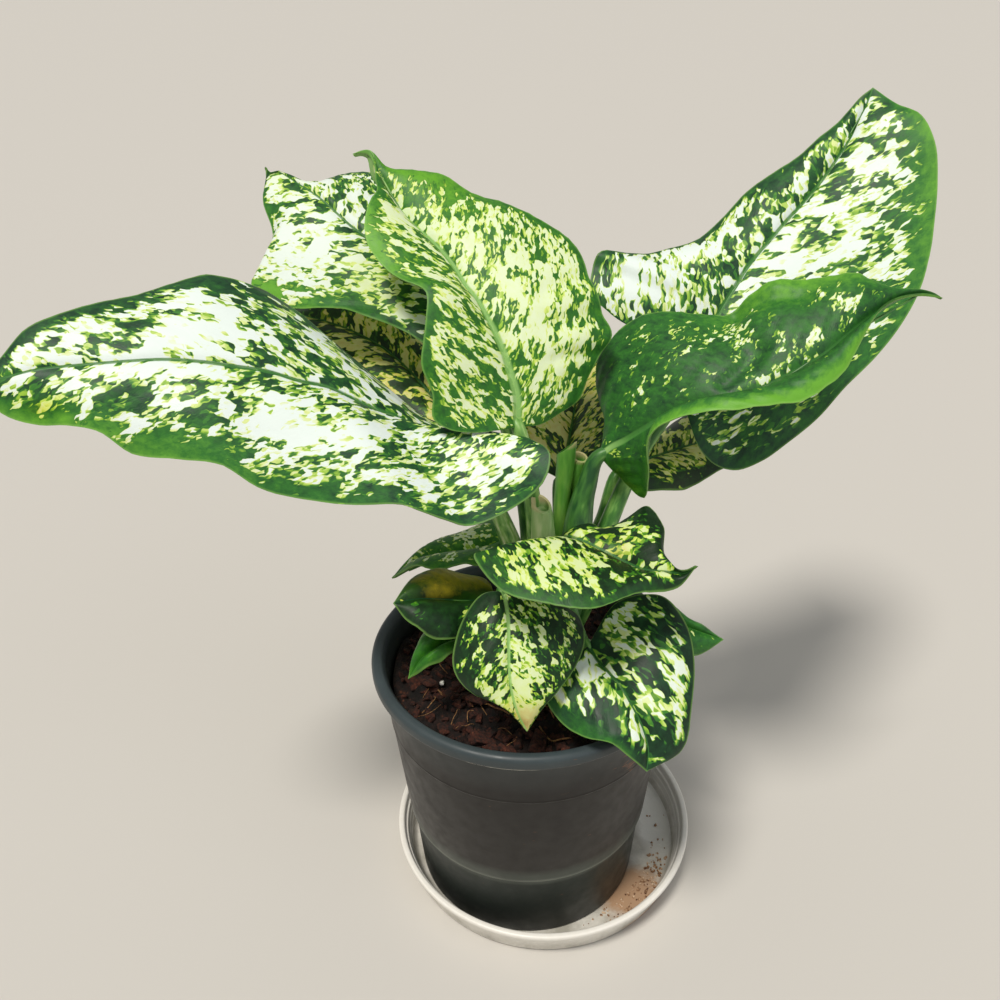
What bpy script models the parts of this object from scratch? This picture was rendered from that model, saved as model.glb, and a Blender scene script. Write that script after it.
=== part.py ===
"""A potted aglaonema: variegated leaves on short canes, soil, a nursery pot and its saucer.

The scene is in metres. The dimensions below are in millimetres, and MM turns them into metres.
+Z is up, -Y is the front, and the origin is the middle of the saucer's flat underside.
"""

import math

import bmesh
import bpy
import numpy as np
from mathutils import Vector

MM = 0.001
# The clear space between pieces that touch, and the same round a cane, whose hole has few sides.
GAP = 0.3
ROOM = 0.45

SAUCER_FOOT_R = 73.2
SAUCER_RIM_R = 80.0
SAUCER_HEIGHT = 18.4
SAUCER_FLOOR = 2.0

POT_X = -9.0
POT_Y = -7.6
POT_FOOT_R = 57.5
POT_STEP_R = 60.6
POT_NECK_R = 70.2
POT_RIM_R = 75.0
POT_STEP_Z = 46.0
POT_LINE_Z = 108.0
POT_TOP_Z = 142.0
POT_WALL = 2.0
POT_FLOOR = 3.2
DRAIN_R = 2.4
DRAIN_COUNT = 8
DRAIN_CIRCLE_R = 34.0

SOIL_TOP_Z = 129.0
SOIL_TOP_R = 65.6
SOIL_BUMP = 1.6
ROOT_Z = 100.0

BLADE = 0.9
# The edge ripple of the leaves whose lines already follow every wave of their edges.
CALM = (0.4, 0.4, 3)
# How many sides a turned piece, the soil, a cane, its hole and a petiole have.
ROUND = 56
SOIL_SIDES = 40
CANE_SIDES = 14
STALK_SIDES = 8

CANE_MAIN = [(1, -6, ROOT_Z), (3, -6, 126), (4, -6, 158), (4.5, -6, 170)]
CANE_MAIN_R = [10.0, 9.8, 9.4, 7.6]
CANE_LEFT = [(-29, -25, ROOT_Z), (-28, -25, 128), (-27, -26, 150)]
CANE_LEFT_R = [5.2, 5.0, 4.4]
CANE_RIGHT = [(25, -22, ROOT_Z), (24, -23, 128), (23, -24, 150)]
CANE_RIGHT_R = [5.0, 4.8, 4.4]


def clear_scene():
    for thing in list(bpy.data.objects):
        bpy.data.objects.remove(thing, do_unlink=True)


def material(name, colour, roughness):
    made = bpy.data.materials.new(name)
    made.use_nodes = True
    surface = made.node_tree.nodes["Principled BSDF"]
    surface.inputs["Base Color"].default_value = (*colour, 1.0)
    surface.inputs["Roughness"].default_value = roughness
    made.diffuse_color = (*colour, 1.0)
    return made


def add_object(name, shape, surface):
    mesh = bpy.data.meshes.new(name)
    shape.to_mesh(mesh)
    shape.free()
    made = bpy.data.objects.new(name, mesh)
    bpy.context.scene.collection.objects.link(made)
    if surface:
        made.data.materials.append(surface)
    return made


def hide(helper):
    helper.hide_render = True
    helper.display_type = "WIRE"
    return helper


def combine(target, other, operation, solver="EXACT"):
    joined = target.modifiers.new(operation.lower() + " " + other.name, "BOOLEAN")
    joined.operation = operation
    joined.solver = solver
    joined.object = hide(other)


def along(points, count):
    """A smooth line through the points, as count + 1 places spaced evenly from point to point."""
    known = np.array(points, dtype=float)
    legs = np.diff(known, axis=0)
    long = np.maximum(np.linalg.norm(legs, axis=1), 1e-6)
    slopes = legs / long[:, None]
    turns = [slopes[0]]
    for index in range(1, len(legs)):
        before, after = long[index - 1], long[index]
        turns.append((slopes[index - 1] * after + slopes[index] * before) / (before + after))
    turns.append(slopes[-1])
    found = []
    for step in range(count + 1):
        place = step / count * len(legs)
        index = min(int(place), len(legs) - 1)
        t = place - index
        ahead = long[index] * (t**3 - 2 * t**2 + t) * turns[index]
        back = long[index] * (t**3 - t**2) * turns[index + 1]
        share = 3 * t**2 - 2 * t**3
        found.append(known[index] * (1 - share) + known[index + 1] * share + ahead + back)
    return np.array(found)


def unit(vector):
    return vector / max(np.linalg.norm(vector), 1e-9)


def tube(name, points, radii, sides, surface=None, steps=2, hollow=0.0):
    """A round stalk along the points. A hollow end has a shallow cup of that depth in its last face."""
    count = (len(points) - 1) * steps
    line = along(points, count)
    size = along([(r, 0, 0) for r in radii], count)[:, 0]
    shape = bmesh.new()
    rings = []
    side = unit(np.cross(unit(line[1] - line[0]), (0.2, 1.0, 0.1)))
    for index, centre in enumerate(line):
        ahead = unit(line[min(index + 1, count)] - line[max(index - 1, 0)])
        side = unit(side - ahead * side.dot(ahead))
        other = np.cross(ahead, side)
        rings.append((centre, side, other, size[index]))
    if hollow:
        centre, side, other, wide = rings[-1]
        ahead = unit(line[-1] - line[-2])
        rings.append((centre, side, other, wide * 0.72))
        rings.append((centre - ahead * hollow, side, other, wide * 0.5))
    made = []
    for centre, side, other, wide in rings:
        ring = []
        for number in range(sides):
            angle = 2 * math.pi * number / sides
            place = centre + wide * (math.cos(angle) * side + math.sin(angle) * other)
            ring.append(shape.verts.new(Vector(place * MM)))
        made.append(ring)
    for low, high in zip(made, made[1:]):
        for number in range(sides):
            following = (number + 1) % sides
            shape.faces.new((low[number], low[following], high[following], high[number]))
    shape.faces.new(list(reversed(made[0])))
    shape.faces.new(made[-1])
    bmesh.ops.recalc_face_normals(shape, faces=shape.faces)
    return add_object(name, shape, surface)


def turned(name, profile, centre, surface, sides=ROUND):
    """A solid turned round an upright axis from (radius, height) points, first and last on the axis."""
    shape = bmesh.new()
    line = [shape.verts.new((r * MM, 0, z * MM)) for r, z in profile]
    edges = [shape.edges.new(pair) for pair in zip(line, line[1:])]
    bmesh.ops.spin(
        shape,
        geom=line + edges,
        axis=(0, 0, 1),
        cent=(0, 0, 0),
        steps=sides,
        angle=2 * math.pi,
        use_merge=True,
    )
    bmesh.ops.remove_doubles(shape, verts=shape.verts, dist=0.00001)
    bmesh.ops.translate(shape, verts=shape.verts, vec=(centre[0] * MM, centre[1] * MM, 0))
    bmesh.ops.recalc_face_normals(shape, faces=shape.faces)
    return add_object(name, shape, surface)


def saucer(surface):
    foot, rim, top, floor = SAUCER_FOOT_R, SAUCER_RIM_R, SAUCER_HEIGHT, SAUCER_FLOOR
    profile = [(0, 0), (foot, 0), (foot + 1.2, 1.0), (rim - 2.6, top - 4.0), (rim - 0.6, top - 2.6)]
    profile += [(rim, top - 1.4), (rim - 0.5, top - 0.3), (rim - 1.6, top), (rim - 2.9, top - 0.6)]
    profile += [(rim - 4.2, top - 3.4), (rim - 5.0, top - 3.8), (rim - 5.4, top - 7.0)]
    profile += [(rim - 6.2, top - 7.4), (rim - 6.6, top - 10.6), (rim - 7.4, top - 11.0)]
    profile += [(foot - 1.0, floor + 1.6), (foot - 1.7, floor), (0, floor)]
    return turned("saucer", profile, (0, 0), surface)


def pot_wall_r(z):
    """The outer radius of the pot's wall at a height."""
    if z < POT_STEP_Z:
        return POT_FOOT_R + (POT_STEP_R - POT_FOOT_R) * z / POT_STEP_Z
    share = (z - POT_STEP_Z) / (POT_TOP_Z - 8 - POT_STEP_Z)
    return POT_STEP_R + 1.6 + (POT_NECK_R - POT_STEP_R - 1.6) * share


def pot(surface):
    low = SAUCER_FLOOR + GAP
    top = POT_TOP_Z
    line = POT_LINE_Z
    profile = [(0, low + 1.0), (POT_FOOT_R - 6, low + 1.0), (POT_FOOT_R - 5, low)]
    profile += [(POT_FOOT_R - 1, low), (POT_FOOT_R, low + 1.2), (POT_STEP_R, POT_STEP_Z)]
    profile += [(POT_STEP_R + 1.6, POT_STEP_Z + 1.4), (pot_wall_r(line), line)]
    profile += [(pot_wall_r(line) + 0.7, line + 0.6), (pot_wall_r(line) + 0.5, line + 1.6)]
    profile += [(POT_NECK_R, top - 8), (POT_RIM_R - 1.2, top - 7), (POT_RIM_R, top - 5.2)]
    profile += [(POT_RIM_R - 0.2, top - 2.4), (POT_RIM_R - 1.6, top - 0.5), (POT_RIM_R - 3.2, top)]
    profile += [(POT_RIM_R - 4.8, top - 0.8), (POT_NECK_R - POT_WALL, top - 4)]
    profile += [(POT_STEP_R + 1.6 - POT_WALL, POT_STEP_Z + 1.4)]
    profile += [(POT_STEP_R - POT_WALL, POT_STEP_Z - 0.6)]
    profile += [(POT_FOOT_R - POT_WALL, low + POT_FLOOR), (0, low + POT_FLOOR)]
    made = turned("pot", profile, (POT_X, POT_Y), surface)
    for number in range(DRAIN_COUNT):
        angle = 2 * math.pi * (number + 0.5) / DRAIN_COUNT
        x = POT_X + DRAIN_CIRCLE_R * math.cos(angle)
        y = POT_Y + DRAIN_CIRCLE_R * math.sin(angle)
        ends = [(x, y, low - 2), (x, y, low + POT_FLOOR + 2)]
        drill = tube("drain drill %d" % number, ends, [DRAIN_R, DRAIN_R], STALK_SIDES, steps=1)
        combine(made, drill, "DIFFERENCE")
    return made


def soil_height(x, y):
    """The uneven top of the soil, in millimetres, with a dip along the pot's wall."""
    bumps = math.sin(x * 0.31 + 1.0) * math.cos(y * 0.27) + 0.6 * math.sin(x * 0.13 - y * 0.19)
    far = math.hypot(x - POT_X, y - POT_Y) / SOIL_TOP_R
    return SOIL_TOP_Z + SOIL_BUMP * bumps - 2.0 * far**6


def soil(surface):
    low = SAUCER_FLOOR + GAP + POT_FLOOR + GAP
    shape = bmesh.new()
    radii = [9, 20, 31, 42, 52, 60, SOIL_TOP_R]
    sides = SOIL_SIDES
    inside = POT_WALL + GAP + 0.35
    rings = []
    for radius in radii:
        ring = []
        for number in range(sides):
            angle = 2 * math.pi * number / sides
            x = POT_X + radius * math.cos(angle)
            y = POT_Y + radius * math.sin(angle)
            ring.append(shape.verts.new((x * MM, y * MM, soil_height(x, y) * MM)))
        rings.append(ring)
    step = POT_STEP_Z
    walls = [(POT_STEP_R + 1.6 - inside, step + 1.8), (POT_STEP_R - inside, step - 1.0)]
    walls += [(POT_FOOT_R - inside, low)]
    for radius, z in walls:
        ring = []
        for number in range(sides):
            angle = 2 * math.pi * number / sides
            x = POT_X + radius * math.cos(angle)
            y = POT_Y + radius * math.sin(angle)
            ring.append(shape.verts.new((x * MM, y * MM, z * MM)))
        rings.append(ring)
    for inner, outer in zip(rings, rings[1:]):
        for number in range(sides):
            following = (number + 1) % sides
            shape.faces.new((inner[number], outer[number], outer[following], inner[following]))
    middle = shape.verts.new((POT_X * MM, POT_Y * MM, soil_height(POT_X, POT_Y) * MM))
    for number in range(sides):
        shape.faces.new((middle, rings[0][number], rings[0][(number + 1) % sides]))
    shape.faces.new(list(reversed(rings[-1])))
    bmesh.ops.triangulate(shape, faces=shape.faces)
    bmesh.ops.recalc_face_normals(shape, faces=shape.faces)
    made = add_object("soil", shape, surface)
    for name, points, radii in canes():
        room = tube(name + " hole", below(points), [r + ROOM for r in radii], CANE_SIDES)
        combine(made, room, "DIFFERENCE")
    return made


def canes():
    return [
        ("cane_main", CANE_MAIN, CANE_MAIN_R),
        ("cane_left", CANE_LEFT, CANE_LEFT_R),
        ("cane_right", CANE_RIGHT, CANE_RIGHT_R),
    ]


def below(points):
    """The cane's line, longer by the gap at both ends."""
    first = (points[0][0], points[0][1], points[0][2] - ROOM)
    last = (points[-1][0], points[-1][1], points[-1][2] + ROOM)
    return [first, *points[1:-1], last]


def cane_main(surface):
    made = tube("cane_main", CANE_MAIN, CANE_MAIN_R, CANE_SIDES, surface)
    tall = [(5, -6, 162), (6, -5, 188), (7, -6, 223), (8.5, -7, 249)]
    wide = [(5, -5, 162), (8, -3, 180), (12, -1, 203), (15, -2, 243)]
    torn = [(3, -9, 164), (2, -10, 183), (1, -10.5, 203), (0, -11, 220)]
    combine(made, tube("cut stub tall", tall, [3.6, 3.2, 3.1, 3.0], 10, hollow=2.0), "UNION")
    combine(made, tube("cut stub wide", wide, [3.8, 3.6, 3.6, 3.5], 10, hollow=2.0), "UNION")
    combine(made, tube("dry sheath", torn, [3.0, 2.4, 1.9, 1.1], STALK_SIDES), "UNION")
    return made


def blade_sheet(mid, left, right, rows, columns, bow, wave):
    """The blade's upper face as a grid of places: rows from base to tip, columns from left to right."""
    middle = along(mid, rows)
    edges = (along(left, rows), along(right, rows))
    grid = np.zeros((rows + 1, 2 * columns + 1, 3))
    for row in range(rows + 1):
        u = row / rows
        ahead = unit(middle[min(row + 1, rows)] - middle[max(row - 1, 0)])
        across = unit(edges[1][row] - edges[0][row])
        up = unit(np.cross(across, ahead))
        swell = math.sin(math.pi * min(max(u, 0.0), 1.0))
        for half, edge in enumerate(edges):
            ripple = wave[half] * swell * math.sin(2 * math.pi * (wave[2] * u + 0.35 * half))
            for column in range(columns + 1):
                v = column / columns
                place = middle[row] + (edge[row] - middle[row]) * v
                lift = bow[half] * swell * 4 * v * (1 - v) + ripple * v**3
                where = columns + column if half else columns - column
                grid[row, where] = place + up * lift
    return grid


def blade(name, grid, surface):
    """A thin closed blade under the grid, both faces split into triangles alike."""
    rows, columns = grid.shape[0] - 1, grid.shape[1] - 1
    shape = bmesh.new()
    base = shape.verts.new(Vector(grid[0, 0] * MM))
    tip = shape.verts.new(Vector(grid[-1, 0] * MM))
    lines = []
    for row in range(1, rows):
        lines.append([shape.verts.new(Vector(place * MM)) for place in grid[row]])
    for column in range(columns):
        shape.faces.new((base, lines[0][column + 1], lines[0][column]))
        shape.faces.new((tip, lines[-1][column], lines[-1][column + 1]))
    for low, high in zip(lines, lines[1:]):
        for column in range(columns):
            a, b = low[column], low[column + 1]
            c, d = high[column + 1], high[column]
            if column < columns / 2:
                shape.faces.new((a, b, c))
                shape.faces.new((a, c, d))
            else:
                shape.faces.new((a, b, d))
                shape.faces.new((b, c, d))
    made = add_object(name, shape, surface)
    skin = made.modifiers.new("leaf thickness", "SOLIDIFY")
    skin.thickness = BLADE * MM
    skin.offset = -1
    return made


def leaf(name, mid, left, right, stalk, surface, size=(14, 4), **form):
    """A leaf as one piece: a blade between three lines, a petiole under it, cut to fit its cane.

    Left and right are as seen from above, looking from the base to the tip. The stalk holds the
    petiole's points, their radii, and its radius under the blade. Size is the blade's rows and the
    columns on each side. The form's bow lifts each half, its wave ripples each edge, and on names
    the cane.
    """
    base, tip = mid[0], mid[-1]
    left = [base, *left, tip]
    right = [base, *right, tip]
    bow = form.get("bow", (4, 4))
    wave = form.get("wave", (1.5, 1.5, 3))
    grid = blade_sheet(mid, left, right, size[0], size[1], bow, wave)
    made = blade(name, grid, surface)
    up = unit(np.cross(grid[1, -1] - grid[1, 0], grid[1, size[1]] - grid[0, size[1]]))
    reach = max(2, round(0.14 * size[0]))
    ends = [grid[0, size[1]] - 1.2 * up, grid[reach, size[1]] - 0.9 * up]
    thin = stalk[-1]
    points = [*stalk[0], *[tuple(end) for end in ends]]
    radii = [*stalk[1], thin, thin * 0.45]
    solver = form.get("solver", "EXACT")
    combine(made, tube(name + " petiole", points, radii, STALK_SIDES), "UNION", solver)
    room = bpy.data.objects.get(form["on"] + " room")
    combine(made, room, "DIFFERENCE", solver)
    return made


def cane_rooms():
    for name, points, radii in canes():
        hide(tube(name + " room", below(points), [r + ROOM for r in radii], CANE_SIDES))


def leaf_left(surface):
    mid = [(-40, -14, 259), (-42, -14, 260), (-44, -15, 262), (-48, -16, 263)]
    mid += [(-51, -17, 265), (-56, -18, 268), (-62, -19, 272), (-69, -21, 276)]
    mid += [(-78, -23, 282), (-87, -25, 288), (-97, -28, 292), (-108, -30, 297)]
    mid += [(-119, -32, 300), (-131, -34, 303), (-143, -36, 305), (-154, -39, 306)]
    mid += [(-166, -41, 306), (-176, -43, 306), (-187, -46, 306), (-198, -48, 304)]
    mid += [(-209, -50, 302)]
    left = [(-26, -22, 262), (-12, -30, 267), (-5, -36, 267), (-1, -41, 266)]
    left += [(-2, -48, 260), (-17, -52, 246), (-33, -55, 241), (-45, -58, 247)]
    left += [(-58, -60, 254), (-75, -61, 255), (-93, -61, 258), (-109, -61, 263)]
    left += [(-123, -60, 273), (-139, -59, 275), (-155, -58, 277), (-166, -57, 286)]
    left += [(-176, -56, 288), (-188, -55, 288), (-202, -52, 292)]
    right = [(-39, -8, 258), (-40, -3, 258), (-43, 0, 258), (-49, 2, 258), (-57, 5, 261)]
    right += [(-64, 8, 267), (-72, 10, 275), (-82, 11, 285), (-92, 12, 295)]
    right += [(-104, 12, 307), (-116, 10, 316), (-126, 7, 321), (-136, 3, 324)]
    right += [(-147, -3, 323), (-159, -10, 321), (-171, -18, 321), (-182, -26, 320)]
    right += [(-193, -34, 317), (-201, -42, 309)]
    stalk = [(0, -8, 150), (-7.5, -12, 170), (-16, -12, 206), (-28, -13, 236)], [3, 3.7, 3.6, 3.2], 2.9
    return leaf("leaf_left", mid, left, right, stalk, surface, (20, 4), on="cane_main", wave=CALM)


def leaf_back_left(surface):
    mid = [(-29, 18, 293), (-32, 20, 296), (-35, 22, 299), (-41, 26, 303)]
    mid += [(-47, 30, 307), (-54, 34, 312), (-62, 38, 317), (-70, 43, 322)]
    mid += [(-77, 48, 326), (-84, 53, 330), (-90, 58, 334), (-96, 63, 338)]
    mid += [(-102, 68, 341), (-107, 72, 343), (-112, 76, 345), (-118, 81, 347)]
    mid += [(-124, 86, 346), (-125, 87, 348)]
    left = [(-30, 11, 291), (-32, 5, 290), (-40, 5, 290), (-49, 8, 291), (-60, 13, 296)]
    left += [(-72, 18, 299), (-84, 22, 302), (-96, 25, 302), (-106, 28, 301)]
    left += [(-114, 32, 301), (-120, 37, 304), (-128, 42, 307), (-123, 51, 314)]
    left += [(-120, 60, 324), (-125, 72, 336), (-125, 85, 345)]
    right = [(-28, 29, 298), (-28, 40, 304), (-29, 49, 311), (-32, 58, 318)]
    right += [(-37, 67, 325), (-45, 75, 332), (-54, 81, 337), (-64, 85, 341)]
    right += [(-75, 89, 344), (-86, 90, 344), (-94, 87, 343), (-101, 84, 341)]
    right += [(-107, 84, 341), (-113, 84, 344), (-119, 84, 345), (-124, 87, 346)]
    stalk = [(1, -2, 150), (-4, 4, 170), (-9, 12, 213), (-20, 17, 260)], [3, 3.7, 3.5, 3.0], 2.7
    return leaf("leaf_back_left", mid, left, right, stalk, surface, (17, 4), on="cane_main", wave=CALM)


def leaf_centre(surface):
    mid = [(-12, -20, 266), (-13, -19, 269), (-13, -18, 272), (-13, -16, 277)]
    mid += [(-14, -14, 282), (-16, -11, 288), (-18, -8, 294), (-21, -4, 300)]
    mid += [(-24, 0, 305), (-28, 5, 311), (-33, 10, 316), (-37, 16, 321), (-42, 22, 326)]
    mid += [(-48, 29, 330), (-55, 36, 334), (-61, 42, 339), (-66, 48, 344)]
    mid += [(-71, 53, 351), (-74, 59, 359), (-77, 60, 359), (-81, 61, 358)]
    left = [(-22, -27, 268), (-32, -30, 269), (-40, -31, 271), (-46, -30, 275)]
    left += [(-46, -27, 284), (-50, -24, 296), (-49, -19, 304), (-48, -14, 311)]
    left += [(-48, -7, 319), (-58, 0, 322), (-66, 7, 326), (-72, 14, 334), (-73, 22, 340)]
    left += [(-71, 30, 346), (-69, 36, 348), (-70, 43, 351), (-71, 51, 355)]
    left += [(-75, 58, 359), (-77, 59, 359)]
    right = [(-3, -16, 265), (5, -12, 268), (13, -8, 272), (17, -4, 280), (22, 0, 288)]
    right += [(27, 4, 295), (24, 9, 303), (21, 14, 311), (18, 21, 317), (15, 28, 323)]
    right += [(7, 34, 330), (-5, 38, 336), (-17, 44, 340), (-31, 50, 343), (-42, 54, 350)]
    right += [(-55, 56, 352), (-66, 57, 353), (-74, 60, 359), (-77, 61, 359)]
    stalk = [(2.5, -10.5, 142), (-0.5, -18, 162), (-4, -17, 203), (-8, -18, 240)], [3, 3.7, 4, 3.4], 2.9
    return leaf("leaf_centre", mid, left, right, stalk, surface, (20, 4), on="cane_main", wave=CALM)


def leaf_shade_left(surface):
    mid = [(-38, 4, 254), (-43, 10, 257), (-54, 26, 265), (-78, 50, 277), (-99, 62, 282)]
    mid += [(-122, 70, 285)]
    left = [(-46, -1, 250), (-64, 11, 256), (-92, 33, 267), (-107, 48, 275)]
    right = [(-33, 28, 256), (-47, 52, 271), (-69, 70, 284), (-95, 74, 289)]
    stalk = [(-1, -5, 142), (-9, -3.5, 162), (-20, 1, 206), (-30, 2, 234)], [3, 3.6, 3.4, 2.8], 2.5
    return leaf("leaf_shade_left", mid, left, right, stalk, surface, (14, 4), on="cane_main")


def leaf_back_right(surface):
    mid = [(62, 24, 260), (64, 27, 263), (67, 30, 267), (71, 34, 273), (74, 38, 279)]
    mid += [(78, 42, 286), (82, 46, 292), (88, 52, 299), (94, 58, 306), (101, 64, 312)]
    mid += [(108, 69, 318), (115, 74, 324), (123, 80, 330), (131, 86, 337)]
    mid += [(138, 91, 345), (144, 95, 353), (149, 100, 362), (153, 104, 368)]
    mid += [(156, 108, 374)]
    left = [(53, 31, 271), (44, 38, 282), (31, 44, 290), (22, 50, 299), (23, 55, 306)]
    left += [(26, 60, 313), (40, 67, 311), (56, 72, 310), (73, 78, 313), (86, 84, 321)]
    left += [(97, 88, 332), (110, 92, 340), (123, 96, 347), (132, 100, 354)]
    left += [(140, 102, 360), (145, 104, 365), (150, 106, 370)]
    right = [(65, 16, 249), (70, 10, 238), (77, 8, 231), (86, 8, 228), (98, 9, 232)]
    right += [(109, 12, 239), (123, 17, 249), (135, 22, 262), (148, 28, 273)]
    right += [(159, 35, 284), (168, 43, 297), (174, 53, 311), (177, 62, 325)]
    right += [(179, 72, 340), (178, 81, 355), (173, 91, 365), (165, 99, 368)]
    stalk = [(9, -6.5, 142), (17, -6.5, 162), (27, -5, 205), (43, 8, 238)], [3, 3.7, 3.8, 3.2], 2.8
    return leaf("leaf_back_right", mid, left, right, stalk, surface, (18, 4), on="cane_main", wave=CALM)


def leaf_front_right(surface):
    mid = [(22, -10, 247), (24, -11, 249), (27, -12, 252), (32, -14, 256)]
    mid += [(36, -16, 260), (42, -19, 266), (49, -21, 272), (57, -23, 277)]
    mid += [(65, -25, 280), (73, -26, 282), (82, -26, 284), (90, -25, 288)]
    mid += [(98, -24, 292), (107, -22, 297), (115, -18, 302), (123, -13, 306)]
    mid += [(131, -8, 309), (137, -4, 311), (151, 1, 312), (156, 2, 311), (160, 3, 309)]
    left = [(24, -4, 252), (25, 2, 258), (23, 9, 264), (22, 16, 271), (24, 21, 280)]
    left += [(30, 24, 287), (41, 23, 296), (54, 20, 299), (66, 16, 299), (76, 13, 300)]
    left += [(83, 12, 308), (92, 11, 315), (104, 9, 316), (114, 6, 318), (123, 3, 320)]
    left += [(130, 1, 317), (137, 0, 315), (151, 2, 313), (156, 3, 311)]
    right = [(26, -11, 242), (30, -12, 238), (35, -14, 233), (40, -16, 229)]
    right += [(41, -25, 244), (40, -34, 270), (49, -37, 277), (59, -40, 281)]
    right += [(71, -42, 283), (84, -42, 285), (95, -40, 285), (104, -36, 288)]
    right += [(112, -31, 292), (117, -26, 298), (123, -19, 305), (129, -12, 309)]
    right += [(136, -6, 311), (151, 0, 311), (156, 1, 310)]
    stalk = [(6.5, -10.5, 150), (10, -17.5, 170), (13, -13, 206), (17, -11, 232)], [3.2, 4.6, 5.6, 4.4], 3.0
    return leaf("leaf_front_right", mid, left, right, stalk, surface, (20, 4), on="cane_main", wave=CALM)


def leaf_shade_right(surface):
    mid = [(35, 12, 227), (45, 20, 227), (61, 32, 226), (81, 48, 223), (102, 64, 220), (124, 80, 217)]
    left = [(53, 45, 225), (71, 65, 226), (93, 85, 224), (113, 90, 224)]
    right = [(44, 8, 219), (61, 15, 214), (82, 30, 213), (101, 45, 216)]
    stalk = [(7.5, -2.5, 150), (14, 3, 170), (27, 7, 204)], [3, 3.6, 3.4], 2.7
    return leaf("leaf_shade_right", mid, left, right, stalk, surface, (14, 4), on="cane_main")


def leaf_shade_back(surface):
    mid = [(7, 10, 224), (9, 16, 225), (12, 32, 230), (16, 52, 236), (20, 75, 241), (23, 100, 249)]
    left = [(-3, 12, 229), (-13, 34, 232), (-12, 58, 239), (-1, 84, 245)]
    right = [(21, 14, 230), (34, 30, 235), (41, 52, 243), (39, 78, 251)]
    stalk = [(4.5, -1, 142), (5, 7, 162), (7, 9, 198)], [3, 3.5, 3.2], 2.7
    return leaf("leaf_shade_back", mid, left, right, stalk, surface, (14, 4), on="cane_main")


def leaf_low_fold(surface):
    mid = [(3, -30, 218), (7, -33, 221), (14, -38, 222), (22, -44, 221), (30, -49, 219)]
    mid += [(36, -54, 219), (45, -58, 220), (51, -61, 221), (56, -62, 225)]
    left = [(17, -28, 224), (25, -25, 220), (33, -22, 221), (42, -22, 228), (47, -35, 227)]
    left += [(46, -50, 221), (51, -60, 222)]
    right = [(-21, -55, 230), (-31, -62, 232), (-23, -70, 223), (-4, -76, 220), (13, -78, 216)]
    right += [(33, -70, 219), (50, -64, 217)]
    stalk = [(22, -24, 141), (16, -27, 160), (7, -29, 193)], [3.0, 2.8, 2.4], 2.0
    return leaf("leaf_low_fold", mid, left, right, stalk, surface, (14, 4), on="cane_right")


def leaf_low_back(surface):
    mid = [(-18, 9, 193), (-24, 9, 190), (-34, 8, 187), (-47, 7, 185), (-58, 6, 183), (-73, 4, 175)]
    left = [(-28, -8, 192), (-36, -12, 192), (-51, -12, 192), (-63, -4, 186)]
    right = [(-21, 24, 193), (-31, 32, 187), (-47, 28, 181), (-58, 18, 183)]
    stalk = [(0, -3, 124), (-7, 2, 142), (-15, 8, 170)], [3.0, 2.8, 2.4], 2.0
    return leaf("leaf_low_back", mid, left, right, stalk, surface, (12, 3), on="cane_main")


def leaf_low_yellow(surface):
    mid = [(-25, -30, 187), (-28, -33, 189), (-38, -37, 192), (-48, -41, 196), (-57, -45, 199)]
    mid += [(-66, -48, 199)]
    left = [(-31, -44, 184), (-41, -52, 182), (-51, -56, 188), (-59, -54, 193)]
    right = [(-25, -20, 187), (-34, -20, 193), (-47, -25, 200), (-57, -33, 203)]
    stalk = [(-27, -26, 146), (-26, -26, 160), (-23, -28, 177)], [2.4, 2.2, 1.9], 1.7
    return leaf("leaf_low_yellow", mid, left, right, stalk, surface, (12, 3), on="cane_left")


def leaf_low_small(surface):
    mid = [(-36, -34, 174), (-40, -38, 173), (-48, -44, 173), (-55, -48, 170), (-62, -52, 161)]
    left = [(-38, -44, 171), (-45, -50, 171), (-53, -52, 167)]
    right = [(-42, -30, 175), (-52, -36, 176), (-58, -42, 172)]
    stalk = [(-29, -26, 134), (-33, -28, 147), (-34, -30, 160)], [2.0, 1.8, 1.6], 1.4
    solver = "MANIFOLD"
    return leaf(
        "leaf_low_small", mid, left, right, stalk, surface, (10, 3), on="cane_left", solver=solver
    )


def leaf_low_middle(surface):
    mid = [(-20, -46, 203), (-19, -50, 201), (-18, -57, 196), (-18, -64, 189), (-18, -70, 181)]
    mid += [(-17, -74, 171), (-15, -76, 163), (-11, -76, 152)]
    left = [(-2, -42, 195), (13, -44, 187), (14, -52, 181), (10, -62, 174), (2, -70, 169)]
    left += [(-3, -74, 165)]
    right = [(-28, -46, 202), (-35, -50, 196), (-40, -58, 187), (-41, -66, 178), (-32, -71, 168)]
    right += [(-21, -75, 165)]
    stalk = [(-26, -28, 136), (-24, -35, 154), (-23, -41, 182)], [2.6, 2.4, 2.2], 1.9
    return leaf("leaf_low_middle", mid, left, right, stalk, surface, (14, 4), on="cane_left")


def leaf_low_right(surface):
    mid = [(17, -42, 170), (20, -48, 167), (24, -56, 167), (29, -64, 165), (33, -71, 161)]
    mid += [(37, -78, 155), (39, -83, 148), (38, -88, 140)]
    left = [(32, -28, 183), (49, -32, 189), (59, -44, 181), (61, -58, 169), (58, -70, 157)]
    left += [(54, -80, 144)]
    right = [(9, -50, 167), (-2, -62, 156), (3, -70, 152), (13, -78, 150), (24, -84, 152)]
    right += [(32, -87, 146)]
    stalk = [(22, -26, 136), (19, -33, 148)], [2.6, 2.3], 2.0
    return leaf("leaf_low_right", mid, left, right, stalk, surface, (14, 4), on="cane_right")


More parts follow.
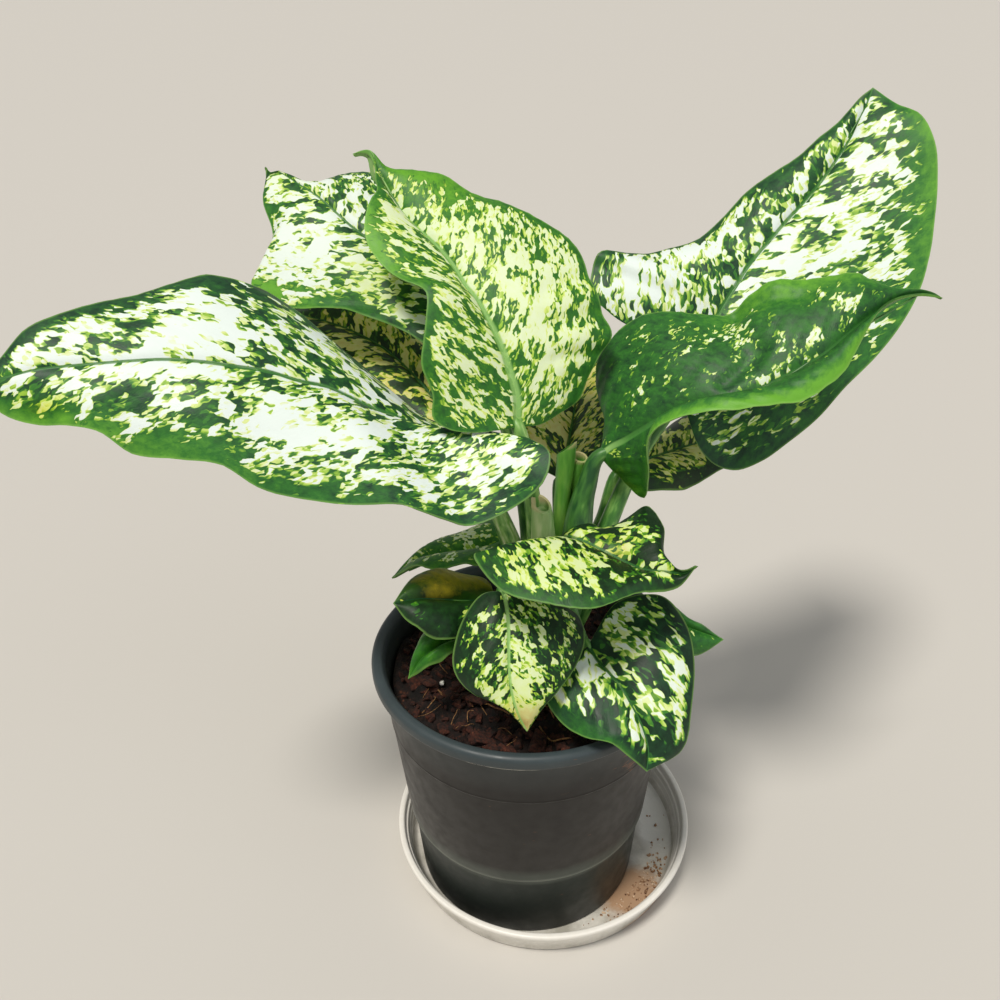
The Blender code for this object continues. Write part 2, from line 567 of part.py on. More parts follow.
def leaf_low_tip(surface):
    mid = [(44, -12, 165), (51, -14, 164), (60, -16, 161), (71, -18, 157), (83, -20, 153)]
    left = [(54, -6, 166), (66, -10, 160), (74, -14, 157)]
    right = [(47, -24, 160), (58, -26, 152), (70, -24, 147)]
    stalk = [(25, -22, 134), (32, -19, 146), (38, -15, 158)], [2.0, 1.8, 1.6], 1.4
    return leaf("leaf_low_tip", mid, left, right, stalk, surface, (10, 3), on="cane_right")


clear_scene()
cream = material("saucer plastic", (0.78, 0.76, 0.68), 0.35)
grey_green = material("pot plastic", (0.06, 0.07, 0.065), 0.45)
earth = material("potting soil", (0.035, 0.02, 0.012), 0.95)
green_stem = material("cane green", (0.10, 0.22, 0.05), 0.5)
spotted = material("variegated leaf", (0.16, 0.32, 0.09), 0.4)
plain = material("green leaf", (0.05, 0.18, 0.05), 0.4)

saucer(cream)
pot(grey_green)
cane_rooms()
soil(earth)
cane_main(green_stem)
tube("cane_left", CANE_LEFT, CANE_LEFT_R, CANE_SIDES, green_stem)
tube("cane_right", CANE_RIGHT, CANE_RIGHT_R, CANE_SIDES, green_stem)
leaf_left(spotted)
leaf_back_left(spotted)
leaf_centre(spotted)
leaf_shade_left(spotted)
leaf_back_right(spotted)
leaf_front_right(plain)
leaf_shade_right(spotted)
leaf_shade_back(spotted)
leaf_low_fold(spotted)
leaf_low_back(spotted)
leaf_low_yellow(plain)
leaf_low_small(plain)
leaf_low_middle(spotted)
leaf_low_right(spotted)
leaf_low_tip(plain)
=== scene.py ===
import itertools
import math
import random

import bmesh
import bpy
import numpy as np
from mathutils import Matrix, Vector, noise


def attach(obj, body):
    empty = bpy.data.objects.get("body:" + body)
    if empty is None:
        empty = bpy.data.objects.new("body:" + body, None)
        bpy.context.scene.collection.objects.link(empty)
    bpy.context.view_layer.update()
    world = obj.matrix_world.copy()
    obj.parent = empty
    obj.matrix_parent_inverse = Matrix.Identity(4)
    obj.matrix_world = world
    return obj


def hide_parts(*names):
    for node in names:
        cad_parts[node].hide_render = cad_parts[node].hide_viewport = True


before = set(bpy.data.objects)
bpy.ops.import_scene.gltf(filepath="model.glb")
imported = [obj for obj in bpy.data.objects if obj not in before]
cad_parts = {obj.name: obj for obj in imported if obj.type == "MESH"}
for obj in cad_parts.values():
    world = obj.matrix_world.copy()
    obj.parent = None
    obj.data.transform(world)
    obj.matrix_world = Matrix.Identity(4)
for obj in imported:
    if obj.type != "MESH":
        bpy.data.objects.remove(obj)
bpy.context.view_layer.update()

# The room: a plain pale floor, one large soft lamp high on the left, a weaker one on the right,
# and pale light from all round. The camera stands in front, above the leaves, and looks down.
MM = 0.001
FLOOR_RADIUS = 12.0
FLOOR_SIDES = 64
FLOOR_DROP = 0.1 * MM
SHARP_ANGLE = 40
CAMERA_PLACE = (-0.0205, -0.3664, 0.4395)
CAMERA_PITCH = 30.98
CAMERA_ROLL = -1.08
CAMERA_LENS = 34.2
SENSOR_WIDTH = 36.0
SEEN_TO = 60.0
ROOM_LIGHT = 0.42


def linear(hex_colour):
    """An sRGB hex colour as linear red, green, blue and alpha."""
    found = []
    for start in (1, 3, 5):
        value = int(hex_colour[start : start + 2], 16) / 255
        found.append(value / 12.92 if value <= 0.04045 else ((value + 0.055) / 1.055) ** 2.4)
    return (*found, 1.0)


def new_material(name, **sockets):
    """A material with its Principled shader, whose sockets are given with _ for a space."""
    made = bpy.data.materials.new(name)
    made.use_nodes = True
    surface = made.node_tree.nodes["Principled BSDF"]
    for socket, value in sockets.items():
        surface.inputs[socket.replace("_", " ")].default_value = value
    return made, made.node_tree, surface


def finished(name, shape, materials):
    """The bmesh as an object of smooth faces, with sharp edges where they meet at a wide angle."""
    mesh = bpy.data.meshes.new(name)
    shape.to_mesh(mesh)
    shape.free()
    for surface in materials:
        mesh.materials.append(surface)
    mesh.shade_smooth()
    mesh.set_sharp_from_angle(angle=math.radians(SHARP_ANGLE))
    made = bpy.data.objects.new(name, mesh)
    bpy.context.scene.collection.objects.link(made)
    return made


def room_floor():
    shape = bmesh.new()
    bmesh.ops.create_circle(shape, cap_ends=True, segments=FLOOR_SIDES, radius=FLOOR_RADIUS)
    bmesh.ops.translate(shape, verts=shape.verts, vec=(0, 0, -FLOOR_DROP))
    paint, _, surface = new_material("matt pale paint", Roughness=0.75)
    surface.inputs["Base Color"].default_value = linear("#cdc9c2")
    return finished("floor", shape, [paint])


def lamp(name, place, strength, softness, colour):
    """A far lamp in the direction of the place. Its strength is in watts per square metre."""
    light = bpy.data.lights.new(name, "SUN")
    light.energy = strength
    light.angle = math.radians(softness)
    light.color = linear(colour)[:3]
    made = bpy.data.objects.new(name, light)
    made.location = place
    made.rotation_euler = Vector(place).to_track_quat("Z", "Y").to_euler()
    bpy.context.scene.collection.objects.link(made)


def room_camera():
    """A camera that looks down and is rolled a little, as the picture was taken."""
    seen = bpy.data.cameras.new("camera")
    seen.lens = CAMERA_LENS
    seen.sensor_width = SENSOR_WIDTH
    seen.clip_end = SEEN_TO
    made = bpy.data.objects.new("camera", seen)
    turn = Matrix.Rotation(math.radians(90 - CAMERA_PITCH), 4, "X")
    turn = turn @ Matrix.Rotation(math.radians(CAMERA_ROLL), 4, "Z")
    made.matrix_world = Matrix.Translation(CAMERA_PLACE) @ turn
    bpy.context.scene.collection.objects.link(made)
    bpy.context.scene.camera = made


def room_light():
    world = bpy.data.worlds.new("pale room")
    world.use_nodes = True
    sky = world.node_tree.nodes["Background"]
    sky.inputs["Color"].default_value = linear("#e6e6e4")
    sky.inputs["Strength"].default_value = ROOM_LIGHT
    bpy.context.scene.world = world
    bpy.context.scene.view_settings.view_transform = "Standard"


room_floor()
lamp("key lamp", (-0.38, -0.55, 1.5), 2.5, 14.0, "#fffaf2")
lamp("fill lamp", (0.9, -0.9, 0.8), 0.4, 50.0, "#eef3ff")
room_camera()
room_light()

# The saucer: one dish of cream polypropylene, injection moulded, with a rounded rim and three low
# rings inside its wall. Drained water has left a white lime crust and some soil on its floor.
SAUCER_FOOT_R = 73.2
SAUCER_RIM_R = 80.0
SAUCER_HEIGHT = 18.4
SAUCER_FLOOR = 2.0
SAUCER_RINGS = 3
SAUCER_EASING = 1.1
WELD = 0.0001 * MM
CRUMBS = 170
CRUMBS_FROM_R = 60.5
CRUMBS_TO_R = 70.5
POT_X = -9.0
POT_Y = -7.6
POT_CLEAR_R = 59.6
IN_COLOUR = {"output": 2, "data_type": "RGBA"}


def add(tree, kind, inputs=(), stops=(), output=0, **settings):
    """Adds one node with its settings and links, and gives one of its outputs.

    Inputs are values or other nodes' outputs, in order or by socket. Stops fill a colour ramp.
    """
    made = tree.nodes.new("ShaderNode" + kind)
    for setting, value in settings.items():
        setattr(made, setting, value)
    for socket, value in inputs.items() if isinstance(inputs, dict) else enumerate(inputs):
        if isinstance(value, bpy.types.NodeSocket):
            tree.links.new(value, made.inputs[socket])
        else:
            made.inputs[socket].default_value = value
    for number, (place, colour) in enumerate(stops):
        ends = made.color_ramp.elements
        stop = ends[number] if number < 2 else ends.new(place)
        stop.position = place
        stop.color = linear(colour)
    return made.outputs[output]


def distance(tree, place, centre, stretch=None):
    """How far the place is from the centre, in metres, with the axes stretched if that is asked."""
    gap = add(tree, "VectorMath", (place, centre), operation="SUBTRACT")
    if stretch:
        gap = add(tree, "VectorMath", (gap, stretch), operation="MULTIPLY")
    return add(tree, "VectorMath", (gap,), output="Value", operation="LENGTH")


def clad(tree, surface, colour, rough=None, bump=None):
    """Gives the shader its colour, roughness and bump: a height, a strength and a depth in mm."""
    tree.links.new(colour, surface.inputs["Base Color"])
    if rough:
        tree.links.new(rough, surface.inputs["Roughness"])
    if bump:
        inputs = {"Height": bump[0], "Strength": bump[1], "Distance": bump[2] * MM}
        tree.links.new(add(tree, "Bump", inputs), surface.inputs["Normal"])


def turned(name, profile, centre, materials, sides=180):
    """A piece turned round an upright axis from radius and height in millimetres, axis to axis."""
    shape = bmesh.new()
    line = [shape.verts.new((r * MM, 0, z * MM)) for r, z in profile]
    edges = [shape.edges.new(pair) for pair in zip(line, line[1:])]
    full = {"axis": (0, 0, 1), "cent": (0, 0, 0), "steps": sides, "angle": 2 * math.pi}
    bmesh.ops.spin(shape, geom=line + edges, use_merge=True, **full)
    bmesh.ops.remove_doubles(shape, verts=shape.verts, dist=WELD)
    bmesh.ops.translate(shape, verts=shape.verts, vec=(centre[0] * MM, centre[1] * MM, 0))
    bmesh.ops.recalc_face_normals(shape, faces=shape.faces)
    return finished(name, shape, materials)


def rounded(points, radius, steps=4):
    """The profile with each inner corner eased to about that radius by a short curve."""
    eased = [points[0]]
    for before, corner, after in zip(points, points[1:], points[2:]):
        here = Vector(corner)
        back = Vector(before) - here
        ahead = Vector(after) - here
        reach = min(radius, back.length * 0.45, ahead.length * 0.45)
        start = here + back.normalized() * reach
        end = here + ahead.normalized() * reach
        for step in range(steps + 1):
            t = step / steps
            eased.append(tuple(start * (1 - t) ** 2 + here * 2 * t * (1 - t) + end * t * t))
    eased.append(points[-1])
    return eased


def polypropylene_cream():
    """Cream polypropylene: satin, slightly waxy, dulled by dried water and dust on the inside."""
    made, tree, surface = new_material("cream polypropylene", Roughness=0.36, IOR=1.49)
    place = add(tree, "TexCoord", output="Object")
    height = add(tree, "SeparateXYZ", (place,), output=2)
    # The dirt dried in patches about 17 mm wide, and its grain is about 2.4 mm.
    dirt = add(tree, "TexNoise", {"Vector": place, "Scale": 60.0, "Detail": 6.0, "Roughness": 0.65})
    fine = add(tree, "TexNoise", {"Vector": place, "Scale": 420.0, "Detail": 4.0, "Roughness": 0.6})
    low = add(tree, "MapRange", (height, 0.0155, 0.004))
    film = add(tree, "Math", (low, dirt), operation="MULTIPLY")
    film = add(tree, "MapRange", (film, 0.22, 0.62, 0.0, 0.75))
    face = add(tree, "Mix", {0: fine, 6: linear("#f4f1ea"), 7: linear("#e9e4d8")}, **IN_COLOUR)
    face = add(tree, "Mix", {0: film, 6: face, 7: linear("#8f8b7c")}, **IN_COLOUR)
    # The lime crust lies on the right of the floor, and washed-out soil in front of it.
    on_floor = add(tree, "Math", (height, 0.0034), operation="LESS_THAN")
    crust = distance(tree, place, (0.064, 0.008, 0.002), (1.0, 0.36, 0.0))
    crust = add(tree, "MapRange", (crust, 0.017, 0.006))
    crust = add(tree, "Math", (crust, dirt), operation="MULTIPLY")
    crust = add(tree, "MapRange", (crust, 0.2, 0.42))
    crust = add(tree, "Math", (crust, on_floor), operation="MULTIPLY")
    face = add(tree, "Mix", {0: crust, 6: face, 7: linear("#f1efe8")}, **IN_COLOUR)
    washed = distance(tree, place, (0.047, -0.046, 0.002))
    washed = add(tree, "MapRange", (washed, 0.03, 0.01))
    washed = add(tree, "Math", (washed, dirt), operation="MULTIPLY")
    washed = add(tree, "MapRange", (washed, 0.22, 0.45, 0.0, 0.9))
    washed = add(tree, "Math", (washed, on_floor), operation="MULTIPLY")
    face = add(tree, "Mix", {0: washed, 6: face, 7: linear("#b08a68")}, **IN_COLOUR)
    rough = add(tree, "MapRange", (crust, 0.0, 1.0, 0.36, 0.85))
    raised = add(tree, "Math", (fine, crust, 0.05), operation="MULTIPLY_ADD")
    clad(tree, surface, face, rough, (raised, 0.35, 0.4))
    return made


def saucer():
    foot, rim, top, floor = SAUCER_FOOT_R, SAUCER_RIM_R, SAUCER_HEIGHT, SAUCER_FLOOR
    profile = [(0, 0), (foot, 0), (foot + 1.4, 1.2), (rim - 2.6, top - 3.8), (rim, top - 2.8)]
    profile += [(rim, top), (rim - 3.0, top), (rim - 3.9, top - 3.4)]
    for ring in range(SAUCER_RINGS):
        profile += [(rim - 4.9 - 1.0 * ring, top - 3.8 - 3.6 * ring)]
        profile += [(rim - 5.3 - 1.0 * ring, top - 6.8 - 3.6 * ring)]
    profile += [(foot - 1.2, floor + 1.4), (foot - 2.6, floor), (0, floor)]
    made = turned("saucer_dish", rounded(profile, SAUCER_EASING), (0, 0), [polypropylene_cream()])
    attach(made, "root")
    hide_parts("saucer")


def saucer_crumbs():
    """Crumbs of potting mix that drained out with the water, on the floor at the front right."""
    drawn = random.Random(5)
    shape = bmesh.new()
    for _ in range(CRUMBS):
        angle = math.radians(drawn.gauss(-38, 17))
        radius = drawn.uniform(CRUMBS_FROM_R, CRUMBS_TO_R)
        size = drawn.uniform(0.25, 0.95)
        x, y = radius * math.cos(angle), radius * math.sin(angle)
        place = Vector((x, y, SAUCER_FLOOR + size * 0.5))
        if (place - Vector((POT_X, POT_Y, place.z))).length < POT_CLEAR_R:
            continue
        turn = Matrix.Rotation(drawn.uniform(0, 6), 4, "Z")
        turn = turn @ Matrix.Rotation(drawn.uniform(0, 6), 4, "X")
        stretch = Matrix.Diagonal((drawn.uniform(0.7, 1.5), 1.0, drawn.uniform(0.5, 0.9), 1.0))
        seat = Matrix.Translation(place * MM) @ turn @ stretch
        bmesh.ops.create_icosphere(shape, subdivisions=1, radius=size * MM, matrix=seat)
    paint, tree, surface = new_material("drained potting mix", Roughness=0.95)
    tone = {"Vector": add(tree, "TexCoord", output="Object"), "Scale": 500.0}
    tone = add(tree, "TexNoise", tone)
    browns = [(0.35, "#5a3c28"), (0.65, "#d8bfa2"), (0.5, "#a47f5e")]
    clad(tree, surface, add(tree, "ValToRGB", (tone,), browns))
    made = finished("saucer_crumbs", shape, [paint])
    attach(made, "root")


saucer()
saucer_crumbs()

# The pot: a round nursery pot of dark grey-green polypropylene, injection moulded, with a rolled
# rim, a whitish parting line under it, a fine mould line round the wall and a step near the foot.
POT_FOOT_R = 57.5
POT_STEP_R = 60.6
POT_NECK_R = 70.2
POT_RIM_R = 75.0
POT_STEP_Z = 46.0
POT_LINE_Z = 108.0
POT_TOP_Z = 142.0
POT_WALL = 2.0
POT_LEDGE = 1.6
POT_EASING = 1.6
POT_LOW_Z = 2.3
DRAIN_R = 2.4
DRAIN_COUNT = 8
DRAIN_CIRCLE_R = 34.0
DRILL_LENGTH = 12.0
DRILL_Z = 4.0
FLASH_WIDE = 1.3
FLASH_RAGGED = 0.25


def polypropylene_dark():
    """Dark grey-green polypropylene: a satin skin, browner where damp soil shows through."""
    shine = {"Roughness": 0.4, "IOR": 1.49, "Specular_IOR_Level": 0.35}
    made, tree, surface = new_material("dark polypropylene", **shine)
    place = add(tree, "TexCoord", output="Object")
    height = add(tree, "SeparateXYZ", (place,), output=2)
    # Bands by height: dark at the foot, lighter just above the step, browner up the wall where damp
    # soil shows through, and blue-grey at the rim bead, painted lighter partly as the light falling
    # on it from above.
    bands_with_painted_rim_light = [(0.0, "#141a17"), (1.0, "#3c4649"), (0.295, "#1d2520"), (0.31, "#4b5149")]
    bands_with_painted_rim_light += [(0.365, "#3f443d"), (0.4, "#1c1915"), (0.8, "#1a1714"), (0.93, "#3a3e3d")]
    face = add(tree, "MapRange", (height, 0.0, POT_TOP_Z * MM))
    face = add(tree, "ValToRGB", (face,), bands_with_painted_rim_light)
    # The wall is darker and lighter in clouds about 42 mm wide.
    cloudy = {"Vector": place, "Scale": 24.0, "Detail": 5.0, "Roughness": 0.6}
    cloudy = add(tree, "TexNoise", cloudy)
    shade = add(tree, "MapRange", (cloudy, 0.3, 0.7, 0.78, 1.2))
    face = add(tree, "Mix", {0: 1.0, 6: face, 7: shade}, blend_type="MULTIPLY", **IN_COLOUR)
    # Dust settles on the step's ledge, and lime from watering leaves pale specks 14 mm apart.
    dusty = add(tree, "MapRange", (height, 0.0446, 0.0464, 0.0, 0.8))
    above = add(tree, "MapRange", (height, 0.0476, 0.0492, 1.0, 0.0))
    dusty = add(tree, "Math", (dusty, above), operation="MULTIPLY")
    dusty = add(tree, "Math", (dusty, cloudy), operation="MULTIPLY")
    face = add(tree, "Mix", {0: dusty, 6: face, 7: linear("#8b8f84")}, **IN_COLOUR)
    cells = add(tree, "TexVoronoi", {"Vector": place, "Scale": 70.0}).node.outputs
    chosen = add(tree, "SeparateXYZ", (cells["Color"],))
    chosen = add(tree, "Math", (chosen, 0.72), operation="GREATER_THAN")
    speck = add(tree, "MapRange", (cells["Distance"], 0.07, 0.03))
    speck = add(tree, "Math", (speck, chosen), operation="MULTIPLY")
    speck = add(tree, "Math", (speck, 0.45), operation="MULTIPLY")
    face = add(tree, "Mix", {0: speck, 6: face, 7: linear("#8d948c")}, **IN_COLOUR)
    # Brown scratches, 6 mm long and 1 mm high, lie on the right of the front, where it was dragged.
    near = distance(tree, place, (0.04, -0.056, 0.12))
    near = add(tree, "MapRange", (near, 0.02, 0.006, 0.0, 0.22))
    turn = {"Vector": place, "Rotation": (0.0, 0.5, 0.4), "Scale": (1.0, 1.0, 6.0)}
    scratch = {"Vector": add(tree, "Mapping", turn), "Scale": 160.0, "Detail": 3.0}
    scratch = add(tree, "TexNoise", scratch)
    scratch = add(tree, "Math", (scratch, near), operation="ADD")
    scratch = add(tree, "MapRange", (scratch, 0.74, 0.8, 0.0, 0.6))
    face = add(tree, "Mix", {0: scratch, 6: face, 7: linear("#8a5733")}, **IN_COLOUR)
    # Scuffs about 7 mm wide break up the shine.
    scuff = add(tree, "TexNoise", {"Vector": place, "Scale": 150.0, "Detail": 4.0})
    rough = add(tree, "MapRange", (scuff, 0.3, 0.7, 0.36, 0.5))
    clad(tree, surface, face, rough, (scuff, 0.12, 0.1))
    return made


def pot():
    low, top, step, line = POT_LOW_Z, POT_TOP_Z, POT_STEP_Z, POT_LINE_Z
    ledge = POT_STEP_R + POT_LEDGE
    slope = (POT_NECK_R - ledge) / (top - 8 - step)
    at_line = ledge + slope * (line - step)
    profile = [(0, low + 1.0), (POT_FOOT_R - 6, low + 1.0), (POT_FOOT_R - 5, low)]
    profile += [(POT_FOOT_R, low), (POT_STEP_R, step), (POT_STEP_R + 1.7, step + 0.9)]
    profile.append((at_line, line - 0.2))
    profile += [(at_line + 0.45, line + 0.5), (at_line + 0.3, line + 1.4), (POT_NECK_R, top - 8.2)]
    profile += [(POT_NECK_R + 1.2, top - 7.6), (POT_RIM_R - 2.2, top - 7.2), (POT_RIM_R, top - 6.0)]
    profile += [(POT_RIM_R, top - 1.6), (POT_RIM_R - 1.8, top), (POT_RIM_R - 4.6, top)]
    profile += [(POT_NECK_R - POT_WALL, top - 3.6), (ledge - POT_WALL, step + 1.4)]
    profile += [(POT_STEP_R - POT_WALL, step - 0.6), (POT_FOOT_R - POT_WALL, low + 3.2)]
    profile = rounded([*profile, (0, low + 3.2)], POT_EASING)
    made = turned("nursery_pot", profile, (POT_X, POT_Y), [polypropylene_dark()])
    drills = bmesh.new()
    rod = {"cap_ends": True, "segments": 24, "radius1": DRAIN_R * MM, "radius2": DRAIN_R * MM}
    for number in range(DRAIN_COUNT):
        angle = 2 * math.pi * (number + 0.5) / DRAIN_COUNT
        x = POT_X + DRAIN_CIRCLE_R * math.cos(angle)
        y = POT_Y + DRAIN_CIRCLE_R * math.sin(angle)
        seat = Matrix.Translation((x * MM, y * MM, DRILL_Z * MM))
        bmesh.ops.create_cone(drills, depth=DRILL_LENGTH * MM, matrix=seat, **rod)
    drill = finished("drain_drills", drills, [])
    cut = made.modifiers.new("drain holes", "BOOLEAN")
    cut.operation = "DIFFERENCE"
    cut.object = drill
    bpy.context.view_layer.update()
    drilled = made.evaluated_get(bpy.context.evaluated_depsgraph_get())
    mesh = bpy.data.meshes.new_from_object(drilled)
    made.modifiers.clear()
    made.data = mesh
    bpy.data.objects.remove(drill)
    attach(made, "root")
    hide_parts("pot")


def parting_line():
    """The thin torn flash that the mould left under the rim, whitened where it was scraped."""
    paint, tree, surface = new_material("scraped polypropylene flash", Roughness=0.5, IOR=1.49)
    worn = {"Vector": add(tree, "TexCoord", output="Object"), "Scale": 55.0, "Detail": 3.0}
    worn = add(tree, "TexNoise", worn)
    worn = add(tree, "ValToRGB", (worn,), [(0.38, "#565b57"), (0.56, "#d2cfbf")])
    clad(tree, surface, worn)
    foot, top = POT_NECK_R + 0.9, POT_TOP_Z - 8.3
    tip = foot + FLASH_WIDE
    profile = [(foot, top), (tip, top - 0.3), (tip, top + 0.15), (foot, top + 0.6), (foot, top)]
    made = turned("rim_parting_line", profile, (POT_X, POT_Y), [paint])
    for vert in made.data.vertices:
        outward = Vector((vert.co.x - POT_X * MM, vert.co.y - POT_Y * MM, 0))
        if outward.length > (foot + 0.7) * MM:
            vert.co += outward.normalized() * noise.noise(vert.co / MM * 0.6) * FLASH_RAGGED * MM
    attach(made, "root")


pot()
parting_line()

# The soil: damp potting mix of composted bark and coir, filled in round the canes to just under the
# rim. Larger bark chips, coir fibres, thin dead roots and white perlite grains lie on top.
SOIL_TOP_Z = 129.0
SOIL_TOP_R = 65.6
SOIL_CELLS = 150
SOIL_BUMP = 1.6
SOIL_LOW_Z = 0.008
SOIL_TAPER = 0.84
CANE_SPOTS = ((3, -6, 14), (-28, -25, 9), (24, -23, 9))
CHIPS = 560
LARGE_CHIPS = 60
LARGE_CHIP = (6, 14)
SMALL_CHIP = (1.6, 5.5)
CHIP_THICK = 3.6
FIBRES = 64
THICK_FIBRES = 6
FIBRE_POINTS = 5
FIBRE_STEPS = 12
PERLITE = 9
SEEN_PERLITE = (-50.0, -20.0)
LIP = 0.74
CUP = 0.6


def soil_height(x, y):
    """The uneven top of the soil, in millimetres, with a dip along the pot's wall."""
    bumps = math.sin(x * 0.31 + 1.0) * math.cos(y * 0.27) + 0.6 * math.sin(x * 0.13 - y * 0.19)
    far = math.hypot(x - POT_X, y - POT_Y) / SOIL_TOP_R
    return SOIL_TOP_Z + SOIL_BUMP * bumps - 2.0 * far**6


def potting_mix(name, grain, *stops):
    """Damp bark and coir with no gloss: red-brown on the crumbs and near black between them, which
    is partly the damp mix's own colour and partly painted shade in the gaps.

    Grain is how many crumbs there are to a metre: 150 for crumbs 7 mm wide, 300 for 3 mm.
    """
    made, tree, surface = new_material(name, Roughness=0.92)
    place = add(tree, "TexCoord", output="Object")
    coarse = {"Vector": place, "Scale": grain, "Detail": 8.0, "Roughness": 0.7}
    coarse = add(tree, "TexNoise", coarse)
    cells = add(tree, "TexVoronoi", {"Vector": place, "Scale": grain * 2.6}, output="Distance")
    # The colour follows the same height as the bump, so the low gaps are painted dark as their
    # shade.
    height = add(tree, "Math", (cells, -0.35, coarse), operation="MULTIPLY_ADD")
    clad(tree, surface, add(tree, "ValToRGB", (height,), stops), bump=(height, 0.9, 1.2))
    return made


def soil_bed(surface):
    """The bed as a plug whose top is raised into crumbs."""
    shape = bmesh.new()
    bmesh.ops.create_grid(shape, x_segments=SOIL_CELLS, y_segments=SOIL_CELLS, size=SOIL_TOP_R * MM)
    for vert in shape.verts:
        x, y = vert.co.x / MM, vert.co.y / MM
        # A square grid is drawn out to a disc, so the rim of the bed is round and closed.
        reach = max(abs(x), abs(y))
        far = math.hypot(x, y)
        scale = reach / far if far else 1.0
        x, y = x * scale + POT_X, y * scale + POT_Y
        crumb = noise.fractal(Vector((x, y, 0)) * 0.16, 0.8, 2.0, 5) * 2.2
        crumb += abs(noise.noise(Vector((x, y, 5)) * 0.45)) * 1.6 - 0.4
        edge = min(1.0, (SOIL_TOP_R - reach) / 3)
        vert.co = (x * MM, y * MM, (soil_height(x, y) + crumb * edge) * MM)
    border = [edge for edge in shape.edges if edge.is_boundary]
    wall = bmesh.ops.extrude_edge_only(shape, edges=border)["geom"]
    for part in wall:
        if isinstance(part, bmesh.types.BMVert):
            part.co.z = SOIL_LOW_Z
            part.co.x = (POT_X + (part.co.x / MM - POT_X) * SOIL_TAPER) * MM
            part.co.y = (POT_Y + (part.co.y / MM - POT_Y) * SOIL_TAPER) * MM
    bmesh.ops.holes_fill(shape, edges=[edge for edge in shape.edges if edge.is_boundary])
    bmesh.ops.recalc_face_normals(shape, faces=shape.faces)
    made = finished("soil_bed", shape, [surface])
    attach(made, "root")
    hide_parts("soil")


def on_soil(drawn, margin):
    """A random place on the soil, clear of the pot's wall by the margin and of the canes."""
    while True:
        angle = drawn.uniform(0, 2 * math.pi)
        radius = (SOIL_TOP_R - margin) * math.sqrt(drawn.random())
        x = POT_X + radius * math.cos(angle)
        y = POT_Y + radius * math.sin(angle)
        if all(math.hypot(x - cx, y - cy) > reach for cx, cy, reach in CANE_SPOTS):
            return x, y


def bark_chips(surface):
    """Bark chips as broken flat pieces, most of them small, half sunk in the bed."""
    drawn = random.Random(11)
    shape = bmesh.new()
    for number in range(CHIPS):
        long = drawn.uniform(*(LARGE_CHIP if number < LARGE_CHIPS else SMALL_CHIP))
        wide = long * drawn.uniform(0.4, 0.8)
        thick = min(long * drawn.uniform(0.25, 0.5), CHIP_THICK)
        x, y = on_soil(drawn, long * 0.6 + 1)
        tilt = Matrix.Rotation(drawn.uniform(-0.5, 0.5), 4, "X")
        tilt = tilt @ Matrix.Rotation(drawn.uniform(-0.5, 0.5), 4, "Y")
        turn = Matrix.Translation((x * MM, y * MM, (soil_height(x, y) + thick * 0.45) * MM))
        turn = turn @ Matrix.Rotation(drawn.uniform(0, math.pi), 4, "Z") @ tilt
        turn = turn @ Matrix.Diagonal((long * MM, wide * MM, thick * MM, 1))
        cube = bmesh.ops.create_cube(shape, size=1.0, matrix=turn)["verts"]
        for vert in cube:
            vert.co += Vector([drawn.uniform(-0.14, 0.14) * long * MM for _ in range(3)]) * 0.8
        edges = list({edge for vert in cube for edge in vert.link_edges})
        chamfer = {"offset": thick * 0.18 * MM, "affect": "EDGES", "segments": 1, "profile": 0.5}
        bmesh.ops.bevel(shape, geom=edges, material=-1, **chamfer)
    made = finished("bark_chips", shape, [surface])
    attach(made, "root")


def rolled(shape, line, radii, sides, paint=None, material=0, hollow=0.0):
    """A round stem along the line: a flat grid rolled up, its long seam welded and its ends closed.

    A hollow end has a lip and a cup of that depth. Paint is called with each vertex, its place
    round the stem and its distance from the start, in millimetres.
    """
    last = len(line) - 1
    sidewards = np.cross(line[1] - line[0], (0.2, 1.0, 0.1))
    rings = []
    travelled = 0.0
    for index in range(last + 1):
        ahead = line[min(index + 1, last)] - line[max(index - 1, 0)]
        ahead = ahead / np.linalg.norm(ahead)
        sidewards = sidewards - ahead * sidewards.dot(ahead)
        sidewards = sidewards / np.linalg.norm(sidewards)
        travelled += np.linalg.norm(line[index] - line[max(index - 1, 0)])
        rings.append((line[index], sidewards, np.cross(ahead, sidewards), radii[index], travelled))
    if hollow:
        centre, first, second, radius, travelled = rings[-1]
        rings.append((centre, first, second, radius * LIP, travelled))
        rings.append((centre - ahead * hollow, first, second, radius * CUP, travelled))
    rows = len(rings) - 1
    grid = bmesh.ops.create_grid(shape, x_segments=sides, y_segments=rows, size=0.5)["verts"]
    for number, vert in enumerate(grid):
        row, column = divmod(number, sides + 1)
        centre, first, second, radius, travelled = rings[row]
        angle = 2 * math.pi * column / sides
        spoke = math.cos(angle) * first + math.sin(angle) * second
        vert.co = Vector((centre + spoke * radius) * MM)
        if paint:
            paint(vert, math.cos(angle) * radius, math.sin(angle) * radius, travelled)
    for face in {face for vert in grid for face in vert.link_faces}:
        face.material_index = material
    bmesh.ops.remove_doubles(shape, verts=grid, dist=WELD)
    wall = [face for face in shape.faces if face.material_index == material]
    open_ends = list({edge for face in wall for edge in face.edges if edge.is_boundary})
    caps = bmesh.ops.holes_fill(shape, edges=open_ends)["faces"]
    for face in caps:
        face.material_index = material
    bmesh.ops.recalc_face_normals(shape, faces=wall + caps)


